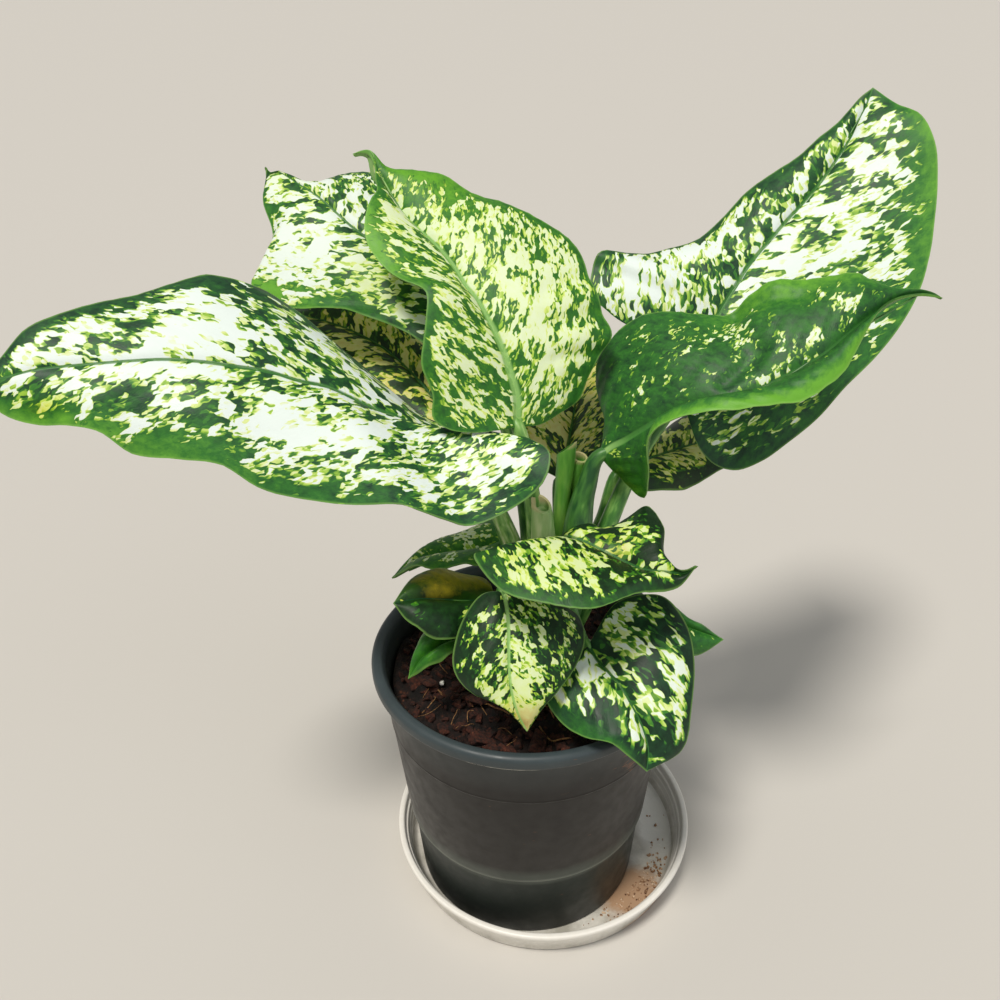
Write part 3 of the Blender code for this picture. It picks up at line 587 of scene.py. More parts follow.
def along(points, count):
    """A smooth line through the points, as count + 1 places spaced evenly from point to point."""
    known = np.array(points, dtype=float)
    legs = np.diff(known, axis=0)
    long = np.maximum(np.linalg.norm(legs, axis=1), 1e-6)
    slopes = legs / long[:, None]
    turns = [slopes[0]]
    for index in range(1, len(legs)):
        before, after = long[index - 1], long[index]
        turns.append((slopes[index - 1] * after + slopes[index] * before) / (before + after))
    turns.append(slopes[-1])
    found = []
    for step in range(count + 1):
        place = step / count * len(legs)
        index = min(int(place), len(legs) - 1)
        t = place - index
        ahead = long[index] * (t**3 - 2 * t**2 + t) * turns[index]
        back = long[index] * (t**3 - t**2) * turns[index + 1]
        share = 3 * t**2 - 2 * t**3
        found.append(known[index] * (1 - share) + known[index + 1] * share + ahead + back)
    return np.array(found)


def sizes_along(radii, count):
    return along([(radius, 0, 0) for radius in radii], count)[:, 0]


def roots(surface):
    """Thin dead roots and coir fibres that lie bent on the soil."""
    drawn = random.Random(23)
    shape = bmesh.new()
    for number in range(FIBRES):
        x, y = on_soil(drawn, 10)
        heading = drawn.uniform(0, 2 * math.pi)
        stride = drawn.uniform(1.2, 4.5)
        points = []
        for step in range(FIBRE_POINTS):
            sunk = 1.6 if step in (0, FIBRE_POINTS - 1) else 0
            z = soil_height(x, y) + 2.0 + drawn.uniform(0.0, 1.2) - sunk
            points.append((x, y, z))
            heading += drawn.uniform(-0.7, 0.7)
            x += stride * math.cos(heading)
            y += stride * math.sin(heading)
            if math.hypot(x - POT_X, y - POT_Y) > SOIL_TOP_R - 2:
                break
        if len(points) < 3:
            continue
        radius = 0.4 if number < THICK_FIBRES else drawn.uniform(0.12, 0.26)
        rolled(shape, along(points, FIBRE_STEPS), [radius] * (FIBRE_STEPS + 1), 5)
    made = finished("dead_roots", shape, [surface])
    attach(made, "root")


def perlite():
    """White perlite grains: popped volcanic glass, with a dull foamy surface."""
    drawn = random.Random(31)
    shape = bmesh.new()
    for number in range(PERLITE):
        x, y = SEEN_PERLITE if number == 0 else on_soil(drawn, 6)
        size = 1.2 if number == 0 else drawn.uniform(0.4, 0.8)
        made = bmesh.ops.create_icosphere(shape, subdivisions=2, radius=size * MM)["verts"]
        for vert in made:
            rough = 1 + 0.5 * noise.noise(vert.co / MM * 1.6 + Vector((number, 0, 0)))
            vert.co = vert.co * rough + Vector((x, y, soil_height(x, y) + 1.6 + size * 0.5)) * MM
    grain, tree, surface = new_material("perlite", Roughness=0.9)
    tone = {"Vector": add(tree, "TexCoord", output="Object"), "Scale": 900.0}
    tone = add(tree, "TexNoise", tone)
    clad(tree, surface, add(tree, "ValToRGB", (tone,), [(0.35, "#b9b4a8"), (0.6, "#f1efe9")]))
    made = finished("perlite_grains", shape, [grain])
    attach(made, "root")


damp = [(0.22, "#0b0603"), (0.75, "#7a4529"), (0.45, "#23110a")]
soil_bed(potting_mix("damp potting mix", 150.0, *damp))
bark = [(0.2, "#1f0d07"), (0.8, "#93543a"), (0.5, "#4e2516")]
bark_chips(potting_mix("composted bark", 240.0, *bark))
roots(potting_mix("dead root", 300.0, (0.2, "#6a4526"), (0.8, "#dcb98a"), (0.5, "#b08455")))
perlite()

# The canes: a main cane with two short side shoots, grown in place, ringed with leaf scars. Two
# petioles of the main cane were cut off and left slanting stubs, and one dry sheath stands torn.
CANE_MAIN = [(1, -6, 100), (3, -6, 126), (4, -6, 158), (4.5, -6, 170)]
CANE_LEFT = [(-29, -25, 100), (-28, -25, 128), (-27, -26, 150)]
CANE_RIGHT = [(25, -22, 100), (24, -23, 128), (23, -24, 150)]
STUB_TALL = [(5, -6, 162), (6, -5, 188), (7, -6, 223), (8.5, -7, 249)]
STUB_WIDE = [(5, -5, 162), (8, -3, 180), (12, -2, 203), (14.5, -4, 243)]
SHEATH = [(0, -14, 168), (-1, -17, 190), (-2, -20, 212), (-3, -23, 231)]
CANE_STEPS = 60
CANE_SIDES = 28
STUB_STEPS = 36
STUB_SIDES = 24
RING_SPACING = 5.0
RING_HEIGHT = 0.35
DRIED = 2.5 * MM
SLANTED = 8 * MM


def stem_skin(name, pale_end, *stops):
    """Skin of a green stem: satin, mottled along its length, and paler towards its cut end."""
    made, tree, surface = new_material(name, Roughness=0.42, IOR=1.45)
    place = add(tree, "TexCoord", output="Object")
    # The mottles are about 4 mm wide and five times as long.
    drawn = add(tree, "Mapping", {"Vector": place, "Scale": (1.0, 1.0, 0.2)})
    mottle = {"Vector": drawn, "Scale": 260.0, "Detail": 3.0, "Roughness": 0.45}
    mottle = add(tree, "TexNoise", mottle)
    cut = add(tree, "SeparateXYZ", (place,), output=2)
    cut = add(tree, "MapRange", (cut, pale_end - DRIED, pale_end, 0.0, 0.8))
    face = add(tree, "ValToRGB", (mottle,), stops)
    face = add(tree, "Mix", {0: cut, 6: face, 7: linear("#d9c493")}, **IN_COLOUR)
    clad(tree, surface, face, bump=(mottle, 0.3, 0.3))
    return made


def lengths(line):
    """How far along the line each of its places is."""
    return np.concatenate([[0.0], np.cumsum(np.linalg.norm(np.diff(line, axis=0), axis=1))])


def cane(name, node, points, radii, surface):
    """A cane with raised rings where old leaves were attached."""
    shape = bmesh.new()
    line = along(points, CANE_STEPS)
    rings = [RING_HEIGHT * math.cos(2 * math.pi * far / RING_SPACING) ** 6 for far in lengths(line)]
    rolled(shape, line, sizes_along(radii, CANE_STEPS) + rings, CANE_SIDES)
    made = finished(name, shape, [surface])
    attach(made, "root")
    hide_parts(node)


def smooth(low, high, value):
    share = min(max((value - low) / (high - low), 0.0), 1.0)
    return share * share * (3 - 2 * share)


def stub(name, points, radii, surface, hollow, slant):
    """What is left of a cut petiole: a tube with a cupped, dried end, cut off at a slant."""
    shape = bmesh.new()
    line, around = along(points, STUB_STEPS), sizes_along(radii, STUB_STEPS)
    rolled(shape, line, around, STUB_SIDES, hollow=hollow)
    end = Vector(points[-1]) * MM
    for vert in shape.verts:
        off = vert.co - end
        vert.co.z += smooth(-SLANTED, 0, off.z) * (slant[0] * off.x + slant[1] * off.y)
    made = finished(name, shape, [surface])
    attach(made, "root")


old_stem = [(0.3, "#2c4a22"), (0.7, "#8a8a5c"), (0.5, "#55703a")]
cane_skin = stem_skin("aglaonema cane skin", 1.0, *old_stem)
cane("main_cane", "cane_main", CANE_MAIN, [10.0, 9.8, 9.4, 7.6], cane_skin)
cane("left_cane", "cane_left", CANE_LEFT, [5.2, 5.0, 4.4], cane_skin)
cane("right_cane", "cane_right", CANE_RIGHT, [5.0, 4.8, 4.4], cane_skin)
fresh_stem = [(0.3, "#3f7d2a"), (0.7, "#86b84f"), (0.5, "#5f9e3a")]
tall_skin = stem_skin("fresh cut petiole", 0.2525, *fresh_stem)
stub("cut_stub_tall", STUB_TALL, [4.2, 3.8, 3.6, 4.3], tall_skin, hollow=3.0, slant=(0.8, -0.5))
wide_skin = stem_skin("cut petiole", 0.243, *fresh_stem)
stub("cut_stub_wide", STUB_WIDE, [3.8, 3.6, 3.6, 3.5], wide_skin, hollow=3.0, slant=(-0.2, 0.2))
dry_stem = [(0.3, "#7fae5c"), (0.7, "#c3d79a"), (0.5, "#9fc378")]
sheath_skin = stem_skin("drying sheath", 0.231, *dry_stem)
stub("dry_sheath", SHEATH, [5.0, 5.6, 5.4, 4.4], sheath_skin, hollow=4.0, slant=(-0.5, 0.3))

# The leaves: thin satin blades, each grown in one piece with its midrib and petiole. The upper face
# is dark green with cream islands drawn out along the side veins, and the underside is paler.
BLADE = 0.6
BOW = 4
GROOVE_DEEP = 0.9
GROOVE_WIDE = 1.7
UNEVEN = 0.7
FRILL = 0.5
SLOPE_AT = 30
PETIOLE_STEPS = 72
PETIOLE_SIDES = 16
MIDRIB_SHARES = (0.06, 0.14, 0.3, 0.5, 0.7, 0.9)
MIDRIB_THIN = 0.45
SPRING_ROWS = 4
SPRING_COLUMNS = 3
SPRING_ROUNDS = 500
SPRING_PULL = 0.12
SEEDS = itertools.count(37.0, 37.0)


def unit(vector):
    return vector / max(np.linalg.norm(vector), 1e-9)


def leaf_skin(name, under):
    """One face of a variegated leaf: a satin cuticle over cells with and without green in them.

    The attribute vein gives millimetres across and along the side veins. The attribute spot gives
    millimetres from the edge, the midrib as 0 to 1, and the green margin as 0 to 1. The attribute
    tint gives the share of cream, how fresh the green is and how yellowed the leaf is, by age and,
    on the leaves deep in shade, as a painted warm tan of that shade.
    """
    made, tree, surface = new_material(name, IOR=1.45, Specular_IOR_Level=0.35)
    vein = add(tree, "Attribute", output="Vector", attribute_name="vein")
    spot = add(tree, "Attribute", output="Vector", attribute_name="spot")
    to_edge, off_rib, inset = add(tree, "SeparateXYZ", (spot,)).node.outputs
    tint = add(tree, "Attribute", output="Vector", attribute_name="tint")
    cover, freshness, age = add(tree, "SeparateXYZ", (tint,)).node.outputs
    # The blade is a mosaic of cells drawn out along the side veins, about 3 by 6 mm with 1.2 by
    # 2.5 mm ones between, and each is cream or green by chance and by what the cells round it are.
    wander = add(tree, "TexNoise", {"Vector": vein, "Scale": 0.3, "Detail": 1.0}, output="Color")
    wander = add(tree, "VectorMath", (wander, (0.5, 0.5, 0.5)), operation="SUBTRACT")
    moved = add(tree, "VectorMath", (wander, (2.0, 2.8, 0.0), vein), operation="MULTIPLY_ADD")
    level = add(tree, "MapRange", (cover, 0.0, 1.0, -0.45, 0.45))
    for stretch, weight in (((0.34, 0.16, 1.0), 0.55), ((0.85, 0.4, 1.0), 0.4)):
        cells = add(tree, "VectorMath", (moved, stretch), operation="MULTIPLY")
        cells = {"Vector": cells, "Scale": 1.0, "Smoothness": 0.25}
        chance = add(tree, "TexVoronoi", cells, output="Color", feature="SMOOTH_F1")
        chance = add(tree, "SeparateXYZ", (chance,))
        chance = add(tree, "Math", (chance, 0.5), operation="SUBTRACT")
        level = add(tree, "Math", (chance, weight, level), operation="MULTIPLY_ADD")
    broad = add(tree, "VectorMath", (moved, (0.085, 0.05, 1.0)), operation="MULTIPLY")
    broad = add(tree, "TexNoise", {"Vector": broad, "Scale": 1.0})
    broad = add(tree, "Math", (broad, 0.5), operation="SUBTRACT")
    level = add(tree, "Math", (broad, 0.75, level), operation="MULTIPLY_ADD")
    greener = add(tree, "MapRange", (inset, 0.1, 2.0, -0.5, 0.0))
    level = add(tree, "Math", (level, greener), operation="ADD")
    off_rib = add(tree, "Math", (off_rib,), operation="ABSOLUTE")
    rib = add(tree, "MapRange", (off_rib, 0.55, 1.2, 1.0, 0.0), interpolation_type="SMOOTHSTEP")
    # The side veins are thin dark lines, 6.2 mm apart, that fade away from the midrib.
    line = add(tree, "SeparateXYZ", (moved,))
    line = add(tree, "Math", (line, 3.1), operation="PINGPONG")
    line = add(tree, "MapRange", (line, 0.25, 0.7, 1.0, 0.0))
    dark = add(tree, "MapRange", (off_rib, 3.0, 16.0, -0.22, -0.02))
    line = add(tree, "Math", (line, dark), operation="MULTIPLY")
    level = add(tree, "Math", (line, level), operation="ADD")
    level = add(tree, "Math", (rib, -0.12, level), operation="MULTIPLY_ADD")
    cream = add(tree, "MapRange", (level, -0.2, 0.14))
    # The green ground: bluish and dark inside, brighter towards a fresh edge, with 5 mm mottles.
    mottle = {"Vector": moved, "Scale": 0.22, "Detail": 5.0, "Roughness": 0.65}
    mottle = add(tree, "TexNoise", mottle)
    fresh = add(tree, "Math", (freshness, mottle), operation="ADD")
    fresh = add(tree, "MapRange", (fresh, 0.35, 1.35))
    greens = [(0.0, "#122e1b"), (1.0, "#6aab35"), (0.2, "#1c4428"), (0.55, "#34752c")]
    ground = add(tree, "ValToRGB", (fresh,), greens)
    creams = [(0.0, "#255a28"), (1.0, "#e9f4ee"), (0.32, "#3f802c"), (0.52, "#a1ca45")]
    islands = add(tree, "ValToRGB", (cream,), [*creams, (0.68, "#dfec97")])
    shown = add(tree, "MapRange", (cream, 0.0, 0.22))
    face = add(tree, "Mix", {0: shown, 6: ground, 7: islands}, **IN_COLOUR)
    # Ageing turns cream to straw and green to olive, and in the end both to gold. On the leaves
    # that lie in the shade of others, the same tint is painted shade: a warm tan standing in for
    # their shade.
    aged = add(tree, "Math", (mottle, 0.5), operation="ADD")
    aged = add(tree, "Math", (age, aged), operation="MULTIPLY")
    straws = [(0.0, "#ffffff"), (1.0, "#b98f55"), (0.35, "#f0f6aa"), (0.7, "#e7cd80")]
    straw = add(tree, "ValToRGB", (aged,), straws)
    face = add(tree, "Mix", {0: 1.0, 6: face, 7: straw}, blend_type="MULTIPLY", **IN_COLOUR)
    golden = add(tree, "MapRange", (aged, 1.0, 2.0, 0.0, 0.85))
    face = add(tree, "Mix", {0: golden, 6: face, 7: linear("#c0aa1e")}, **IN_COLOUR)
    pale = add(tree, "Attribute", output="Fac", attribute_name="pale")
    ribbed = [(0.0, "#1f5230"), (1.0, "#a3cf7a"), (0.5, "#4f8f3c")]
    ribbed = add(tree, "ValToRGB", (pale,), ribbed)
    shown = add(tree, "Math", (rib, 0.85), operation="MULTIPLY")
    face = add(tree, "Mix", {0: shown, 6: face, 7: ribbed}, **IN_COLOUR)
    # A thin light line runs along the edge, where the blade has no green cells.
    shown = add(tree, "MapRange", (to_edge, 0.3, 0.9, 0.4, 0.0))
    face = add(tree, "Mix", {0: shown, 6: face, 7: linear("#8fbf5a")}, **IN_COLOUR)
    if under:
        face = add(tree, "Mix", {0: 0.45, 6: face, 7: linear("#7f9c62")}, **IN_COLOUR)
    satin = (0.55, 0.65) if under else (0.42, 0.55)
    rough = add(tree, "MapRange", (mottle, 0.3, 0.7, *satin))
    # The cuticle's wrinkles are 0.6 mm wide and 4 mm long, along the side veins.
    fine = add(tree, "VectorMath", (moved, (1.6, 0.25, 1.0)), operation="MULTIPLY")
    fine = add(tree, "TexNoise", {"Vector": fine, "Scale": 1.0, "Detail": 3.0})
    clad(tree, surface, face, rough, (fine, 0.35, 0.25))
    return made


def petiole_skin():
    """Skin of a petiole: smooth, satin and mottled with pale streaks along its length."""
    made, tree, surface = new_material("aglaonema petiole", Roughness=0.4, IOR=1.45)
    # The streaks are about 2.5 mm wide and 9 mm long.
    drawn = add(tree, "Attribute", output="Vector", attribute_name="vein")
    drawn = add(tree, "VectorMath", (drawn, (0.5, 0.5, 0.14)), operation="MULTIPLY")
    mottle = {"Vector": drawn, "Scale": 0.8, "Detail": 3.0, "Roughness": 0.45}
    mottle = add(tree, "TexNoise", mottle)
    level = add(tree, "Attribute", output="Fac", attribute_name="pale")
    level = add(tree, "Math", (level, 0.5, mottle), operation="MULTIPLY_ADD")
    greens = [(0.3, "#24522a"), (1.0, "#dfe6b4"), (0.6, "#4c8238"), (0.8, "#86b45c")]
    face = add(tree, "ValToRGB", (level,), greens)
    clad(tree, surface, face, bump=(mottle, 0.25, 0.3))
    return made


def blade_places(mid, left, right, rows, columns, wave):
    """The blade's upper face: for each row and column its place, its up direction and shares."""
    middle = along(mid, rows)
    edges = (along(left, rows), along(right, rows))
    travelled = lengths(middle)
    places = []
    for row in range(rows + 1):
        u = row / rows
        ahead = unit(middle[min(row + 1, rows)] - middle[max(row - 1, 0)])
        onward = unit(middle[min(row + rows // 5, rows)] - middle[max(row - rows // 5, 0)])
        up = unit(np.cross(unit(edges[1][row] - edges[0][row]), ahead))
        swell = math.sin(math.pi * u)
        line = []
        for number in range(-columns, columns + 1):
            half = int(number > 0)
            out = edges[half][row] - middle[row]
            t = abs(number) / columns
            v = 0.35 * t + 0.65 * t * t * (3 - 2 * t)
            ripple = wave[half] * swell * math.sin(2 * math.pi * (wave[2] * u + 0.35 * half))
            lift = BOW * swell * 4 * v * (1 - v) + ripple * v**3
            wide = np.linalg.norm(out)
            forward = (middle[row] + out * v - middle[row]).dot(onward)
            off = math.sqrt(max((wide * v) ** 2 - forward**2, 0.0))
            place = middle[row] + out * v + up * lift
            line.append((place, up, u, v if half else -v, travelled[row] + forward, off, wide))
        places.append(line)
    return middle, places


def between(table, places):
    """The rows of the table at places that lie between them."""
    low = np.minimum(places.astype(int), len(table) - 2)
    share = (places - low)[:, None, None]
    return table[low] * (1 - share) + table[low + 1] * share


def pressed(places, rows, columns):
    """The blade pressed flat: how far along the midrib and off it each place comes to lie.

    Springs between some of the rows and columns pull the flat distances towards the real ones,
    with the midrib held straight, so the pattern isn't stretched where a lobe curls.
    """
    kept = (slice(None, None, SPRING_ROWS), slice(None, None, SPRING_COLUMNS))
    real = np.array([[spot[0] for spot in line] for line in places])[kept]
    signs = np.sign(np.arange(-columns, columns + 1))
    flat = [[(spot[4], spot[5] * sign) for spot, sign in zip(line, signs)] for line in places]
    flat = np.array(flat)[kept]
    down, over = flat.shape[:2]
    rib = over // 2
    straight = flat[:, rib].copy()
    springs = []
    for step, side in ((0, 1), (1, 0), (1, 1), (1, -1), (0, 2), (2, 0)):
        here = (slice(0, down - step), slice(max(-side, 0), over - max(side, 0)))
        there = (slice(step, down), slice(max(side, 0), over + min(side, 0)))
        springs.append((here, there, np.linalg.norm(real[there] - real[here], axis=-1)))
    for _ in range(SPRING_ROUNDS):
        moved = np.zeros_like(flat)
        for here, there, long in springs:
            gap = flat[there] - flat[here]
            span = np.linalg.norm(gap, axis=-1) + 1e-6
            push = gap * ((span - long) / span)[..., None]
            moved[here] += push
            moved[there] -= push
        flat += moved * SPRING_PULL
        flat[:, rib] = straight
    fine = between(flat, np.arange(rows + 1) / SPRING_ROWS).swapaxes(0, 1)
    return between(fine, np.arange(2 * columns + 1) / SPRING_COLUMNS).swapaxes(0, 1)


def crease(lines, u, v, long, wide):
    """How deep the creases are at one place of the blade, in millimetres."""
    total = 0.0
    scale = np.array([long, wide])
    for from_u, from_v, to_u, to_v, depth, reach in lines:
        start = np.array([from_u, from_v]) * scale
        run = np.array([to_u, to_v]) * scale - start
        gap = np.array([u, v]) * scale - start
        share = min(max(gap.dot(run) / max(run.dot(run), 1e-9), 0.0), 1.0)
        total += depth * math.exp(-(np.linalg.norm(gap - run * share) / reach) ** 2)
    return total


# What a leaf looks like where its call says nothing else, and what large and small ones share.
PLAIN = {"wave": (1.5, 1.5, 3), "margin": (4.0, 4.0), "rib": (2.4, 0.6), "spacing": 6.2}
PLAIN |= {"lean": (1.0, 0.008), "grain": 1.0, "rounded": 1.0, "quilt": 0.3, "creases": ()}
PLAIN |= {"patches": {}, "fresh": 0.0, "aged": 0.0, "pale": 0.2, "sheath": 0.0, "stalk_pale": 0.3}
LARGE = {"size": (96, 24), "wave": (0.4, 0.4, 3), "sheath": 0.45}
SMALL = {"size": (48, 15), "margin": (2.0, 2.0), "spacing": 4.0}


def petiole(shape, layers, seed, places, stalk, radii, thin, look):
    """A petiole that runs on under the blade as its midrib and thins out to the tip."""
    rows, middle = len(places) - 1, len(places[0]) // 2
    last = len(radii) - 1
    # The petiole's foot is a sheath, so it is wider there.
    wider = look["sheath"]
    radii = [radius * (1 + wider * (1 - index / last)) for index, radius in enumerate(radii)]
    stalk = [*stalk, places[0][middle][0] - 1.2 * places[1][middle][1]]
    radii.append(thin)
    for share in MIDRIB_SHARES:
        place, up = places[round(share * rows)][middle][:2]
        radii.append(max(thin * (1 - share) ** 1.3 * 0.8, MIDRIB_THIN))
        stalk.append(place - (radii[-1] + 1.0) * up)

    def paint(vert, first, second, travelled):
        vert[layers["vein"]] = (first + seed, second, travelled)
        vert[layers["pale"]] = look["stalk_pale"]

    line, around = along(stalk, PETIOLE_STEPS), sizes_along(radii, PETIOLE_STEPS)
    rolled(shape, line, around, PETIOLE_SIDES, paint, material=2)


def leaf(name, mid, left, right, stalk, radii, thin, slot="variegated_leaf", size=(72, 21), **look):
    """A leaf between its three lines, with a petiole under it, and the imported CAD part of the
    same name hidden.

    Left and right are as seen from above, looking from the base to the tip. Wave is how far each
    edge ripples and how often, margin the width of the green edge on each side, and rib the
    midrib's width at its ends. Spacing and lean are the side veins' distance and slope, grain and
    rounded the cells' fineness and length, and quilt the swelling between the veins. A patch
    changes cover (the share of cream), fresh, the ageing (yellowing by age, and on leaves in shade
    a painted warm tan of that shade), pale (the midrib) or margin round one place.
    Sheath widens the foot of the petiole.
    """
    seed = next(SEEDS)
    look = {**PLAIN, **look}
    rows, columns = size
    lean, grain = look["lean"], look["grain"]
    rib_base, rib_end = look["rib"]
    narrowed = 1 / math.hypot(1, lean[0] + SLOPE_AT * lean[1])
    left, right = [mid[0], *left, mid[-1]], [mid[0], *right, mid[-1]]
    middle, places = blade_places(mid, left, right, rows, columns, look["wave"])
    flat = pressed(places, rows, columns)
    long = flat[rows, columns][0]
    shape = bmesh.new()
    layers = {kind: shape.verts.layers.float_vector.new(kind) for kind in ("vein", "spot", "tint")}
    layers["pale"] = shape.verts.layers.float.new("pale")
    grid = bmesh.ops.create_grid(shape, x_segments=2 * columns, y_segments=rows, size=0.5)["verts"]
    for number, vert in enumerate(grid):
        row, column = divmod(number, 2 * columns + 1)
        place, up, u, v, s, off, wide = places[row][column]
        side = 1 if v > 0 else -1
        ahead, aside = flat[row, column][0], abs(flat[row, column][1])
        across_veins = (ahead - (lean[0] * aside + lean[1] * aside * aside)) * narrowed
        along_vein = aside * math.hypot(1, lean[0] + lean[1] * aside) + lean[0] * across_veins
        along_vein *= look["rounded"]
        swell = math.sin(math.pi * u) ** 0.5 if 0 < u < 1 else 0.0
        groove = -GROOVE_DEEP * swell * math.exp(-((off / GROOVE_WIDE) ** 2))
        quilt = look["quilt"] * swell * smooth(2, 12, off) * (1 - 0.5 * abs(v))
        quilt *= math.cos(2 * math.pi * across_veins / look["spacing"])
        uneven = UNEVEN * swell * smooth(1, 9, off)
        uneven *= noise.noise(Vector((across_veins * 0.06, off * 0.05 * side, seed)))
        frill = FRILL * swell * abs(v) ** 6 * noise.noise(Vector((s * 0.11, side * 3.0, seed)))
        folded = crease(look["creases"], u, v, long, wide)
        vert.co = Vector((place + up * (groove + quilt + uneven + frill - folded)) * MM)
        found = {**look, "margin": 1.0}
        for what, patches in look["patches"].items():
            for at_u, at_v, reach_u, reach_v, amount in patches:
                gap = ((u - at_u) / reach_u) ** 2 + ((v - at_v) / reach_v) ** 2
                found[what] += amount * math.exp(-gap)
        to_edge = wide * (1 - abs(v))
        to_end = 1.5 + (1 - u) * np.linalg.norm(middle[-1] - middle[0])
        inset = min(to_edge, to_end) / max(look["margin"][int(v > 0)] * found["margin"], 0.5)
        rib_wide = rib_base + (rib_end - rib_base) * u**0.8
        vert[layers["vein"]] = (across_veins * grain, along_vein * grain, seed + side * 7.0)
        vert[layers["spot"]] = (to_edge, off * 2 / rib_wide, inset)
        vert[layers["tint"]] = (found["cover"], found["fresh"], found["aged"])
        vert[layers["pale"]] = found["pale"]
    bmesh.ops.remove_doubles(shape, verts=grid, dist=WELD)
    upper = set(shape.faces)
    bmesh.ops.solidify(shape, geom=list(shape.faces), thickness=BLADE * MM)
    for face in shape.faces:
        face.material_index = 0 if face in upper else 1
    petiole(shape, layers, seed, places, stalk, radii, thin, look)
    made = finished(name + "_blade", shape, leaf_skins)
    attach(made, "root")
    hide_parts(name)


leaf_skins = [leaf_skin("aglaonema leaf upper face", under=False)]
leaf_skins += [leaf_skin("aglaonema leaf underside", under=True), petiole_skin()]
leaf(
    "leaf_left", **LARGE, cover=0.5, fresh=0.1, pale=0.3, margin=(4.0, 3.6), rib=(3.6, 0.9),
    lean=(2.0, 0.009), stalk_pale=0.5,
    mid=[(-40, -14, 259), (-42, -14, 260), (-44, -15, 262), (-48, -16, 263), (-51, -17, 265),
        (-56, -18, 268), (-62, -19, 272), (-69, -21, 276), (-78, -23, 282), (-87, -25, 288),
        (-97, -28, 292), (-108, -30, 297), (-119, -32, 300), (-131, -34, 303), (-143, -36, 305),
        (-154, -39, 306), (-166, -41, 306), (-176, -43, 306), (-187, -46, 306), (-198, -48, 304),
        (-209, -50, 302)],
    left=[(-26, -22, 262), (-12, -30, 267), (-5, -36, 267), (-1, -41, 266), (-2, -48, 260),
        (-17, -52, 246), (-33, -55, 241), (-45, -58, 247), (-58, -60, 254), (-75, -61, 255),
        (-93, -61, 258), (-109, -61, 263), (-123, -60, 273), (-139, -59, 275), (-155, -58, 277),
        (-166, -57, 286), (-176, -56, 288), (-188, -55, 288), (-202, -52, 292)],
    right=[(-39, -8, 258), (-40, -3, 258), (-43, 0, 258), (-49, 2, 258), (-57, 5, 261),
        (-64, 8, 267), (-72, 10, 275), (-82, 11, 285), (-92, 12, 295), (-104, 12, 307),
        (-116, 10, 316), (-126, 7, 321), (-136, 3, 324), (-147, -3, 323), (-159, -10, 321),
        (-171, -18, 321), (-182, -26, 320), (-193, -34, 317), (-201, -42, 309)],
    stalk=[(0, -8, 150), (-7.5, -12, 170), (-16, -12, 206), (-28, -13, 236)],
    radii=[3, 3.7, 3.6, 3.2], thin=2.9,
    patches={"fresh": [(0.85, -1.0, 0.3, 0.3, 0.6)], "margin": [(0.65, 1.0, 0.1, 0.4, 0.9),
        (0.7, -1.0, 0.12, 0.4, 0.7)], "aged": [(0.89, -0.71, 0.04, 0.2, 0.5)],
        "cover": [(0.72, 0.25, 0.12, 0.3, 0.4), (0.72, -0.12, 0.1, 0.08, 0.3),
        (0.54, -0.5, 0.05, 0.14, 0.5), (0.45, -0.3, 0.06, 0.15, 0.25),
        (0.77, 0.19, 0.014, 0.14, -0.7), (0.75, 0.5, 0.03, 0.08, -0.7),
        (0.89, -0.02, 0.015, 0.08, -0.7), (0.74, -0.39, 0.02, 0.08, -0.45)]},
)
leaf(
    "leaf_back_left", **LARGE, cover=0.56, fresh=0.15, aged=0.02, pale=0.25, margin=(3.0, 3.5),
    rib=(2.6, 0.6), stalk_pale=0.2,
    mid=[(-29, 18, 293), (-32, 20, 296), (-35, 22, 299), (-41, 26, 303), (-47, 30, 307),
        (-54, 34, 312), (-62, 38, 317), (-70, 43, 322), (-77, 48, 326), (-84, 53, 330),
        (-90, 58, 334), (-96, 63, 338), (-102, 68, 341), (-107, 72, 343), (-112, 76, 345),
        (-118, 81, 347), (-124, 86, 346), (-125, 87, 348)],
    left=[(-30, 11, 291), (-32, 5, 290), (-40, 5, 290), (-49, 8, 291), (-60, 13, 296),
        (-72, 18, 299), (-84, 22, 302), (-96, 25, 302), (-106, 28, 301), (-114, 32, 301),
        (-120, 37, 304), (-128, 42, 307), (-123, 51, 314), (-120, 60, 324), (-125, 72, 336),
        (-125, 85, 345)],
    right=[(-28, 29, 298), (-28, 40, 304), (-29, 49, 311), (-32, 58, 318), (-37, 67, 325),
        (-45, 75, 332), (-54, 81, 337), (-64, 85, 341), (-75, 89, 344), (-86, 90, 344),
        (-94, 87, 343), (-101, 84, 341), (-107, 84, 341), (-113, 84, 344), (-119, 84, 345),
        (-124, 87, 346)],
    stalk=[(1, -2, 150), (-4, 4, 170), (-9, 12, 213), (-20, 17, 260)],
    radii=[3, 3.7, 3.5, 3.0], thin=2.7,
    # The first ageing patch, on the left half a third of the way up, is painted shade: the
    # yellow-orange cast where leaf_centre shades this blade.
    patches={"fresh": [(0.65, -1.0, 0.2, 0.3, 0.8)], "aged": [(0.36, -0.56, 0.1, 0.4, 0.3),
        (0.85, 0.0, 0.1, 0.4, 0.15), (0.99, 0.0, 0.05, 1.0, 1.2)],
        "cover": [(0.98, 0.0, 0.05, 1.0, -0.7), (0.6, -0.5, 0.12, 0.25, 0.25),
        (0.72, 0.2, 0.08, 0.2, 0.25)]},
)
